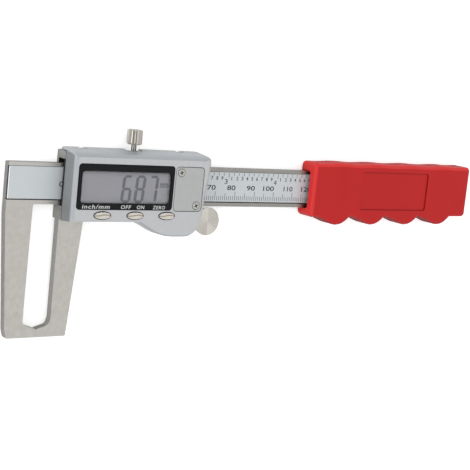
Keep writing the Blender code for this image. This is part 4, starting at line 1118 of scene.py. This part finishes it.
@dataclass
class MeasuringFrame(Bench):
    """The steel channel with the moving jaw, its gib and the screws from behind."""

    edge: float = 0.22
    meet: float = 0.13
    contact_wide: float = 0.3
    contact: float = -6.85
    contact_low: float = -50.0
    jaw_top: float = -9.0
    guides: Pair = (-8.4, 9.9)
    guide_back: float = -3.9
    slot: Point = (4.0, 1.2, 0.35)
    screw_edge: float = 0.08
    head: Pair = (1.2, 0.8)
    shank: float = 0.7

    def build(self) -> None:
        """Makes the frame."""
        body = self.copy_of("slider_frame")
        self.dress(body, "brushed_steel", "ground_edge", "milled_side", "milled_side_lit", "recess_shadow",
                   "shaded_end_steel")
        contact, tips, jaw = at("X", self.contact), at("Y", self.contact_low), at("Y", self.jaw_top)
        self.slide(body, lambda c: near(c.x, contact) and c.y < tips, (-self.meet, 0, 0))
        self.round_plate(body, self.edge, "ground_edge",
                         lambda m: abs(m.x - contact) < self.contact_wide * MM and m.y < tips)
        self.repaint(body, "milled_side", lambda c, n: abs(n.z) < ACROSS)
        # Painted light: the moving jaw's left-facing sides are painted paler.
        self.repaint(body, "milled_side_lit", lambda c, n: abs(n.z) < ACROSS and n.x < -ACROSS and c.y < jaw)
        # Painted shade: the frame's left end above the jaw is painted darker.
        self.repaint(body, "shaded_end_steel", lambda c, n: n.x < -ACROSS and c.y >= jaw)
        for vert in body.data.vertices:
            vert.co.z = max(vert.co.z, 0.0)
        low, high, back = at("Y", self.guides[0]), at("Y", self.guides[1]), at("Z", self.guide_back)
        self.repaint(body, "recess_shadow", lambda c, n: low < c.y < high and c.z > back and abs(n.x) < STEEP)
        self.fit(body, "frame_and_moving_jaw", "slider", "brushed_steel", "slider_frame")
        # The gib's bronze is darkened with painted shade.
        self.dress_node("gib_strip", "gib_bronze")
        self.dress_node("roller_axle", "dark_steel")
        for node in ("gib_set_screw_left", "gib_set_screw_right"):
            self.slotted(node)
        for number in range(1, 5):
            self.from_behind(f"housing_screw_{number}")

    def slotted(self, node: str) -> None:
        """Cuts the driver slot into a gib screw.

        Args:
            node: The screw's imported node.
        """
        low, high = self.extent(node)
        middle, half = Vector(((low.x + high.x) / 2, high.y, (low.z + high.z) / 2)), Vector(self.slot) / 2
        blade = self.block(middle - half, middle + half)
        self.set_screw(node, f"{node}_slotted", "slider", blade, self.screw_edge)

    def from_behind(self, node: str) -> None:
        """Makes a cross-head screw that holds the housing from behind.

        Args:
            node: The screw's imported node.
        """
        low, high = self.extent(node)
        CrossScrew(node, ((low.x + high.x) / 2, (low.y + high.y) / 2), low.z, self.head,
                   (self.shank, high.z - low.z), -1, "dark_steel", "black_steel").build()


@dataclass
class Housing(Bench):
    """The cast display housing with its thumb rest."""

    edge: float = 0.35
    # From these places on, the top band, the underside and the left fillet are painted in shade.
    top_band: float = 11.74
    lower_band: float = -13.0
    left_band: float = 1.0
    hollows: tuple[tuple[Point, Point], ...] = (
        ((0.2, -12.15, -6.0), (59.2, 12.15, 8.02)),
        ((0.45, -8.6, 7.9), (43.6, 9.6, 9.7)),
        ((43.7, -8.9, 7.9), (57.5, 9.45, 8.9)),
    )

    def build(self) -> None:
        """Makes the housing."""
        cover = self.copy_of("housing_cover")
        self.dress(cover, "satin_silver", "silver_edge", "silver_painted_shade", "recess_shadow", "silver_shaded_band")
        self.round_edges(cover, self.edge, segments=3, angle=24.0, finish="silver_edge")
        top, low, left = at("Y", self.top_band), at("Y", self.lower_band), at("X", self.left_band)
        # Painted shade on the top band, the underside and the left fillet.
        self.repaint(cover, "silver_shaded_band", lambda c, n: n.y > 0.12 and c.y > top or n.y < -STEEP and c.y < low
                     or n.x < -0.2 and c.x < left)
        # Painted shade on both ends of the housing.
        self.repaint(cover, "silver_painted_shade", lambda c, n: abs(n.x) > 0.97)
        for corner, far in self.hollows:
            a, b = place(*corner), place(*far)
            self.repaint(cover, "recess_shadow", lambda c, n: inside(c, a, b))
        self.fit(cover, "housing", "slider", "satin_silver", "housing_cover", smooth=30.0)


class Segment(Enum):
    """The seven bars of a figure: the middle's shares across and up, and whether the bar stands."""

    TOP = (0.5, 1.0, False)
    MIDDLE = (0.5, 0.5, False)
    BOTTOM = (0.5, 0.0, False)
    UPPER_LEFT = (0.0, 0.75, True)
    UPPER_RIGHT = (1.0, 0.75, True)
    LOWER_LEFT = (0.0, 0.25, True)
    LOWER_RIGHT = (1.0, 0.25, True)


SHOWN = {
    "6": [s for s in Segment if s is not Segment.UPPER_RIGHT],
    "7": [Segment.TOP, Segment.UPPER_RIGHT, Segment.LOWER_RIGHT],
    "8": list(Segment),
}


@dataclass
class Display(Bench):
    """The bezel, the window, the display glass and its figures."""

    bezel_edge: float = 0.15
    # The bezel's opening and the window's pane: two corners, and the radius that their corners have.
    opening: tuple[Pair, Pair, float] = ((2.2, -5.9), (42.0, 6.6), 0.9)
    pane: tuple[Pair, Pair, float] = ((2.4, -5.7), (41.8, 6.4), 0.7)
    window_corner: float = 1.7
    print_level: float = 9.9
    print_thick: float = 0.03
    glass_level: float = 8.2
    glass_gap: float = 0.02
    figure_thick: float = 0.05
    # Each name with its left side, width and height.
    words: tuple[tuple[str, float, float, float], ...] = (
        ("inch/mm", 3.15, 12.0, 1.6), ("OFF", 20.1, 4.55, 1.45), ("ON", 27.25, 3.4, 1.45),
        ("ZERO", 34.45, 5.65, 1.4))
    word_low: float = -7.9
    # The lettering's slant, weight and spacing.
    word_style: Point = (0.12, 0.012, 1.15)
    figures: str = "687"
    figure_low: Pair = (20.1, -5.65)
    figure_size: Pair = (4.5, 10.85)
    figure_pitch: float = 5.87
    figure_slant: float = 0.07
    bar: float = 1.25
    level_bar: float = 1.0
    bar_gap: float = 0.3
    bar_point: float = 0.8
    unit_low: Pair = (37.6, 0.5)
    unit_size: Pair = (3.9, 1.9)
    unit_style: Point = (0.0, 0.05, 1.1)

    def build(self) -> None:
        """Makes the display from the bezel to the connectors."""
        bezel = self.copy_of("display_bezel")
        self.reround(bezel, *self.opening, self.window_corner)
        self.dress(bezel, "bezel_black")
        self.round_edges(bezel, self.bezel_edge, segments=2, angle=30.0)
        self.fit(bezel, "bezel", "slider", "bezel_black", "display_bezel")
        lens = self.copy_of("display_lens")
        self.reround(lens, *self.pane, self.window_corner)
        self.dress(lens, "lens_plastic", "bezel_black")
        self.repaint(lens, "bezel_black", lambda c, n: abs(n.z) < STEEP)
        self.fit(lens, "window", "slider", "clear_plastic", "display_lens", smooth=0)
        # The display glass gets painted shadow at its top, under the bezel.
        self.dress_node("lcd_panel", "display_grey_top_shadow")
        self.dress_node("lcd_connector_upper", "pad_rubber")
        self.dress_node("lcd_connector_lower", "pad_rubber")
        names = self.merge([self.lettering(word, (x, self.word_low), (width, height), self.print_level,
                                           self.print_thick, *self.word_style)
                            for word, x, width, height in self.words])
        self.dress(names, "bezel_print")
        self.fit(names, "key_names", "slider", "bezel_black", smooth=0)
        self.reading()
        unit = self.lettering("mm", self.unit_low, self.unit_size, self.glass_level + self.glass_gap,
                              self.figure_thick, *self.unit_style)
        self.dress(unit, "display_unit")
        self.fit(unit, "display_unit", "slider", "display_glass", smooth=0)

    def segment(self, long: float, wide: float) -> Thing:
        """Makes one bar of a figure with its pointed ends, lying along X at the figures' corner.

        Args:
            long: The bar's length.
            wide: Its width.

        Returns:
            The bar.
        """
        (x, y), half, level = self.figure_low, wide / 2, self.glass_level + self.glass_gap
        bar = self.block((x - long / 2, y - half, level), (x + long / 2, y + half, level + self.figure_thick))
        with self.editing(bar):
            self.choose(bar, "edges", lambda e: not near(e.verts[0].co.z, e.verts[1].co.z))
            bpy.ops.mesh.bevel(offset=half * self.bar_point * MM, segments=1, affect="EDGES")
        return bar

    def reading(self) -> None:
        """Sets the display's reading from bars."""
        wide, high = self.figure_size[0] - self.bar, self.figure_size[1] - self.level_bar
        start = Matrix.Translation(place(*self.figure_low, 0))
        upright = start @ Matrix.Rotation(math.pi / 2, 4, "Z") @ start.inverted()
        lying, standing = [], []
        for count, figure in enumerate(self.figures):
            for segment in SHOWN[figure]:
                share_x, share_y, stands = segment.value
                move = Matrix.Translation(((count * self.figure_pitch + self.bar / 2 + share_x * wide) * MM,
                                           (self.level_bar / 2 + share_y * high) * MM, 0))
                if stands:
                    standing.append(move @ upright)
                else:
                    lying.append(move)
        piece = self.merge(self.repeat(self.segment(wide - self.bar_gap, self.level_bar), lying)
                           + self.repeat(self.segment(high / 2 - self.bar_gap, self.bar), standing))
        lean = Matrix.Identity(4)
        lean[0][1] = self.figure_slant
        piece.data.transform(start @ lean @ start.inverted())
        self.dress(piece, "display_segment")
        self.fit(piece, "display_reading", "slider", "display_glass", smooth=0)


@dataclass
class Electronics(Bench):
    """The board, the sensor plate and the rubber pad, all inside."""

    plate_end: float = -0.7
    plate_back: float = 0.3
    # How much further the plate reaches to the left and towards the scale.
    reach: float = 0.38
    close_in: float = 0.18
    edge: float = 0.08
    dressed: dict[str, str] = field(default_factory=lambda: {
        "circuit_board": "circuit_board", "board_screw_1": "dark_steel",
        "board_screw_2": "dark_steel", "button_pad": "pad_rubber", "coin_cell": "cell_nickel",
        "battery_contact_negative": "contact_brass", "battery_contact_positive": "contact_brass"})

    def build(self) -> None:
        """Dresses the inner nodes and brings the sensor plate close to the scale."""
        for node, finish in self.dressed.items():
            self.dress_node(node, finish)
        plate = self.copy_of("sensor_plate")
        end, low = at("X", self.plate_end), at("Z", self.plate_back)
        self.slide(plate, lambda c: near(c.x, end), (-self.reach, 0, 0))
        self.slide(plate, lambda c: near(c.z, low), (0, 0, -self.close_in))
        # The sensor plate is real. Its black mask, brought to the housing's end, also paints the shade in the gap
        # over the scale.
        self.dress(plate, "sensor_mask_and_gap_shade")
        self.round_edges(plate, self.edge, segments=1, angle=40.0)
        self.fit(plate, "sensor_strip", "slider", "circuit_board", "sensor_plate")


@dataclass
class BatteryLid(Bench):
    """The battery cover and its two cross-head screws."""

    edge: float = 0.18
    face: float = 9.9
    # Below this height and within this radius of each screw, the lid's wells are painted in shade.
    sunk: float = 9.6
    well: float = 2.1
    screws: tuple[Pair, Pair] = ((46.5, 6.84), (54.7, -6.30))
    head: Pair = (1.5, 0.45)
    shank: Pair = (0.8, 4.0)
    turn: float = 0.2

    def build(self) -> None:
        """Makes the lid and its screws."""
        lid = self.copy_of("battery_cover")
        self.dress(lid, "battery_lid_silver", "silver_edge", "silver_painted_shade")
        self.round_edges(lid, self.edge, segments=2, angle=30.0, finish="silver_edge")
        sunk, centres = at("Z", self.sunk), [place(*middle, 0) for middle in self.screws]
        # Painted shade in the screws' wells.
        self.repaint(lid, "silver_painted_shade", lambda c, n: c.z < sunk
                     and min(apart(c, centre) for centre in centres) < self.well * MM)
        self.fit(lid, "battery_lid", "slider", "battery_lid", "battery_cover")
        for number, middle in enumerate(self.screws, 1):
            CrossScrew(f"battery_cover_screw_{number}", middle, self.face, self.head, self.shank,
                       turn=self.turn * number).build()


@dataclass
class Keys(Bench):
    """The three oval keys, each a domed plate with a wavy crease along it."""

    names: tuple[str, str, str] = ("unit", "power", "zero")
    size: Pair = (KeyFinish.pitch, 2.9)
    rim: float = 10.09
    dome: float = 0.1
    crown: float = 2.6
    rings: int = 14
    sides: int = 64
    crease: float = 0.09
    spread: float = 0.4
    wave: float = KeyFinish.wave
    phase: float = KeyFinish.phase
    flange: float = 8.0
    below: float = 0.02
    rim_shade: float = 0.27
    shade_from: float = 0.5
    # The slope and start of the line above which the rim is painted in shade.
    shade_line: Pair = (-0.25, -0.05)

    def build(self) -> None:
        """Makes the keys, the first modelled and the others copied from it."""
        deep, home = at("Z", self.rim - self.below), self.middle(self.names[0])
        caps = self.repeat(self.cap(), [Matrix.Translation(self.middle(name) - home) for name in self.names])
        for name, key in zip(self.names, caps):
            centre = self.middle(name)
            self.dress(key, "key_plate", "recess_shadow")
            self.repaint(key, "recess_shadow", lambda c, n: c.z < deep or self.shaded(c - centre))
            self.fit(key, f"key_{name}", f"button_{name}", "key_champagne", f"button_{name}", smooth=50.0)

    def middle(self, name: str) -> Vector:
        """Gives the middle of a key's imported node, in metres."""
        low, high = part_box(f"button_{name}")
        return Vector(((low.x + high.x) / 2, (low.y + high.y) / 2, 0))

    def shaded(self, away: Vector) -> bool:
        """Says whether a place on a key lies on its upper left rim, where shade is painted.

        Args:
            away: The place from the key's middle.

        Returns:
            Whether it does.
        """
        across, up = away.x / (self.size[0] / 2 * MM), away.y / (self.size[1] / 2 * MM)
        share = math.hypot(across, up)
        slope, start = self.shade_line
        if share < self.shade_from or up < slope * across + start:
            return False
        return (1 / share - 1) * math.hypot(away.x, away.y) < self.rim_shade * MM

    def cap(self) -> Thing:
        """Models the first key: an oval post whose top rises ring by ring to a crown, with a crease across it.

        Returns:
            The key.
        """
        home = self.middle(self.names[0])
        middle = home / MM + ORIGIN
        depth, rim = self.rim - self.flange, at("Z", self.rim)
        key = self.disc((middle.x, middle.y, self.rim - depth / 2), 1.0, depth, self.sides)
        pivot = (home.x, home.y, rim)
        with self.editing(key):
            bpy.ops.mesh.select_all(action="SELECT")
            bpy.ops.transform.resize(value=(self.size[0] / 2, self.size[1] / 2, 1), center_override=pivot)
            self.choose(key, "faces", lambda f: f.normal.z > FACING)
            for ring in range(1, self.rings):
                last, share = 1 - (ring - 1) / self.rings, 1 - ring / self.rings
                rise = self.dome * (last ** self.crown - share ** self.crown)
                bpy.ops.mesh.extrude_region_move(TRANSFORM_OT_translate={"value": (0, 0, rise * MM)})
                bpy.ops.transform.resize(value=(share / last, share / last, 1), center_override=pivot)
            bpy.ops.mesh.poke()
            mesh = bmesh.from_edit_mesh(key.data)
            for vert in mesh.verts:
                if vert.co.z > rim + self.below * MM:
                    share = (vert.co.x - home.x) / (self.size[0] / 2 * MM)
                    line = self.wave * MM * math.sin(math.pi * share + self.phase)
                    depth = math.exp(-(((vert.co.y - home.y - line) / (self.spread * MM)) ** 2)) * (1 - share ** 4)
                    vert.co.z -= self.crease * depth * MM * (vert.co.z - rim) / (self.dome * MM)
            bmesh.update_edit_mesh(key.data)
        self.close(key)
        return key


@dataclass
class ThumbRoller(Bench):
    """The turned roller under the beam, its rim knurled."""

    centre: Point = ROLLER_CENTRE
    radius: float = 5.9
    teeth: int = 84
    tooth: float = 0.1
    rim: float = 0.4
    edge: float = 0.07
    bar: float = 12.0

    def star(self) -> Thing:
        """Makes the toothed bar that the roller is cut to.

        Returns:
            The bar.
        """
        bar = self.disc(self.centre, self.radius, self.bar, 2 * self.teeth)
        middle, step, share = place(*self.centre), math.pi / self.teeth, 1 - self.tooth / self.radius
        with self.editing(bar):
            self.choose(bar, "verts", lambda v: round(math.atan2(v.co.y - middle.y, v.co.x - middle.x) / step) % 2)
            bpy.ops.transform.resize(value=(share, share, 1), center_override=middle)
        return bar

    def build(self) -> None:
        """Makes the roller."""
        roller = self.copy_of("thumb_roller")
        self.carve(roller, self.star(), how="INTERSECT")
        self.dress(roller, "turned_steel", "milled_side")
        centre, inner = place(*self.centre), (self.radius - self.rim) * MM
        self.repaint(roller, "milled_side", lambda c, n: abs(n.z) < STEEP and apart(c, centre) > inner)
        self.round_edges(roller, self.edge, segments=1, angle=50.0)
        self.fit(roller, "roller", "thumb_roller", "turned_steel", "thumb_roller", smooth=30.0)


@dataclass
class LockScrew(Bench):
    """The ridged lock screw on top, its neck fluted."""

    middle: Point = (29.6, 14.2, -0.6)
    neck: float = 1.05
    flutes: int = 9
    # A flute's radius and length.
    flute: Pair = (0.2, 4.2)
    flute_sides: int = 10
    # The neck's flutes are painted in shade this far under its surface, and this far up and down.
    flute_dark: Pair = (0.03, 2.0)
    # Where the head starts, and the share of its width that it keeps.
    head_low: float = 16.0
    head_fit: float = 0.91
    groove: float = 3.15
    edge: float = 0.12

    def build(self) -> None:
        """Makes the screw."""
        screw = self.copy_of("lock_screw")
        self.slim(screw)
        x, y, z = self.middle
        turns = [math.tau * k / self.flutes for k in range(self.flutes)]
        self.carve(screw, *(self.disc((x + self.neck * math.cos(turn), y, z + self.neck * math.sin(turn)),
                                      *self.flute, self.flute_sides, (math.pi / 2, 0, 0)) for turn in turns))
        self.dress(screw, "bright_nickel", "recess_shadow", "ridge_shade")
        middle, head, groove = place(*self.middle), at("Y", self.head_low), self.groove * self.head_fit * MM
        inner, reach = (self.neck - self.flute_dark[0]) * MM, self.flute_dark[1] * MM
        self.repaint(screw, "recess_shadow", lambda c, n: abs(c.y - middle.y) < reach
                     and from_axis(c, middle) < inner)
        self.repaint(screw, "ridge_shade", lambda c, n: c.y > head and abs(n.y) < STEEP
                     and from_axis(c, middle) < groove)
        self.round_edges(screw, self.edge, segments=2, angle=30.0)
        self.fit(screw, "clamp_screw", "lock_screw", "bright_steel", "lock_screw", smooth=40.0)

    def slim(self, screw: Thing) -> None:
        """Draws the head in towards the screw's axis, to the width that the photograph shows.

        Args:
            screw: The screw's own mesh.
        """
        low = place(self.middle[0], self.head_low, self.middle[2])
        with self.editing(screw):
            self.choose(screw, "verts", lambda v: v.co.y > low.y and from_axis(v.co, low) > 2 * self.neck * MM)
            bpy.ops.transform.resize(value=(self.head_fit, 1.0, self.head_fit), center_override=low)


# ---------------------------------------------------------------- the studio


@dataclass
class Studio:
    """The pale floor, the soft light and the camera."""

    floor_size: float = 6.0
    floor_lift: float = 0.45
    floor_level: float = -0.0002
    floor_white: float = 0.9
    world_light: float = 0.9
    lamp_place: Point = (-0.7, 0.15, 0.4)
    lamp_size: float = 0.8
    lamp_power: float = 2.0
    lens: float = 98.72
    camera_place: Point = (-0.322185, 0.080350, 0.443620)
    camera_right: Point = (0.82020, 0.10151, 0.56300)
    camera_up: Point = (0.00258, 0.98347, -0.18108)
    camera_back: Point = (-0.57208, 0.14997, 0.80638)

    def build(self) -> None:
        """Makes all of it."""
        self.floor()
        self.world()
        self.lamp()
        self.camera()

    def floor(self) -> None:
        """Lays the floor under the tool, a little whiter to the camera so that its shadow stays."""
        bpy.ops.object.select_all(action="DESELECT")
        bpy.ops.mesh.primitive_plane_add(size=self.floor_size, location=(0, 0, self.floor_level))
        floor = bpy.context.active_object
        floor.name = "floor"
        material = bpy.data.materials.new("floor_paper")
        material.use_nodes = True
        tree = material.node_tree
        seen = wire(tree, "LightPath", {}, "Is Camera Ray")
        feed(tree, tree.nodes["Principled BSDF"], {
            "Base Color": (self.floor_white,) * 3 + (1.0,), "Roughness": 0.9, "Specular IOR Level": 0.1,
            "Emission Color": (1, 1, 1, 1),
            "Emission Strength": wire(tree, "Math", {0: seen, 1: self.floor_lift}, operation="MULTIPLY")})
        floor.data.materials.append(material)

    def world(self) -> None:
        """Sets the even light all round, behind a backdrop that is white to the camera."""
        world = bpy.data.worlds.new("studio")
        world.use_nodes = True
        bpy.context.scene.world = world
        tree = world.node_tree
        feed(tree, tree.nodes["Background"], {"Color": (1, 1, 1, 1), "Strength": self.world_light})
        white = wire(tree, "Background", {"Color": (1, 1, 1, 1), "Strength": 1.0})
        mix = wire(tree, "MixShader", {"Fac": wire(tree, "LightPath", {}, "Is Camera Ray"),
                                       1: tree.nodes["Background"].outputs[0], 2: white})
        feed(tree, tree.nodes["World Output"], {"Surface": mix})

    def lamp(self) -> None:
        """Hangs one large soft lamp that faces the tool."""
        bpy.ops.object.select_all(action="DESELECT")
        turn = (-Vector(self.lamp_place)).to_track_quat("-Z", "Y").to_euler()
        bpy.ops.object.light_add(type="AREA", location=self.lamp_place, rotation=turn)
        lamp = bpy.context.active_object
        lamp.name = "lamp_key"
        lamp.data.shape, lamp.data.size, lamp.data.energy = "SQUARE", self.lamp_size, self.lamp_power

    def camera(self) -> None:
        """Sets the camera where the photograph was taken from."""
        data = bpy.data.cameras.new("camera")
        data.lens, data.clip_start = self.lens, 0.01
        data.sensor_width, data.sensor_fit = 36.0, "HORIZONTAL"
        camera = bpy.data.objects.new("camera", data)
        bpy.context.scene.collection.objects.link(camera)
        axes = (self.camera_right, self.camera_up, self.camera_back)
        turn = Matrix([[axis[row] for axis in axes] for row in range(3)]).to_4x4()
        camera.matrix_world = Matrix.Translation(self.camera_place) @ turn
        bpy.context.scene.camera = camera


def main() -> None:
    """Builds the tool piece by piece, then the studio round it."""
    logging.basicConfig(level=logging.INFO, format="%(message)s")
    for part in (Beam(), Grip(), MeasuringFrame(), Housing(), Display(), Electronics(), BatteryLid(), Keys(),
                 ThumbRoller(), LockScrew(), Studio()):
        part.build()
        log.info("%s done", type(part).__name__)
    bpy.context.scene.view_settings.view_transform = "Standard"


if __name__ == "__main__":
    main()
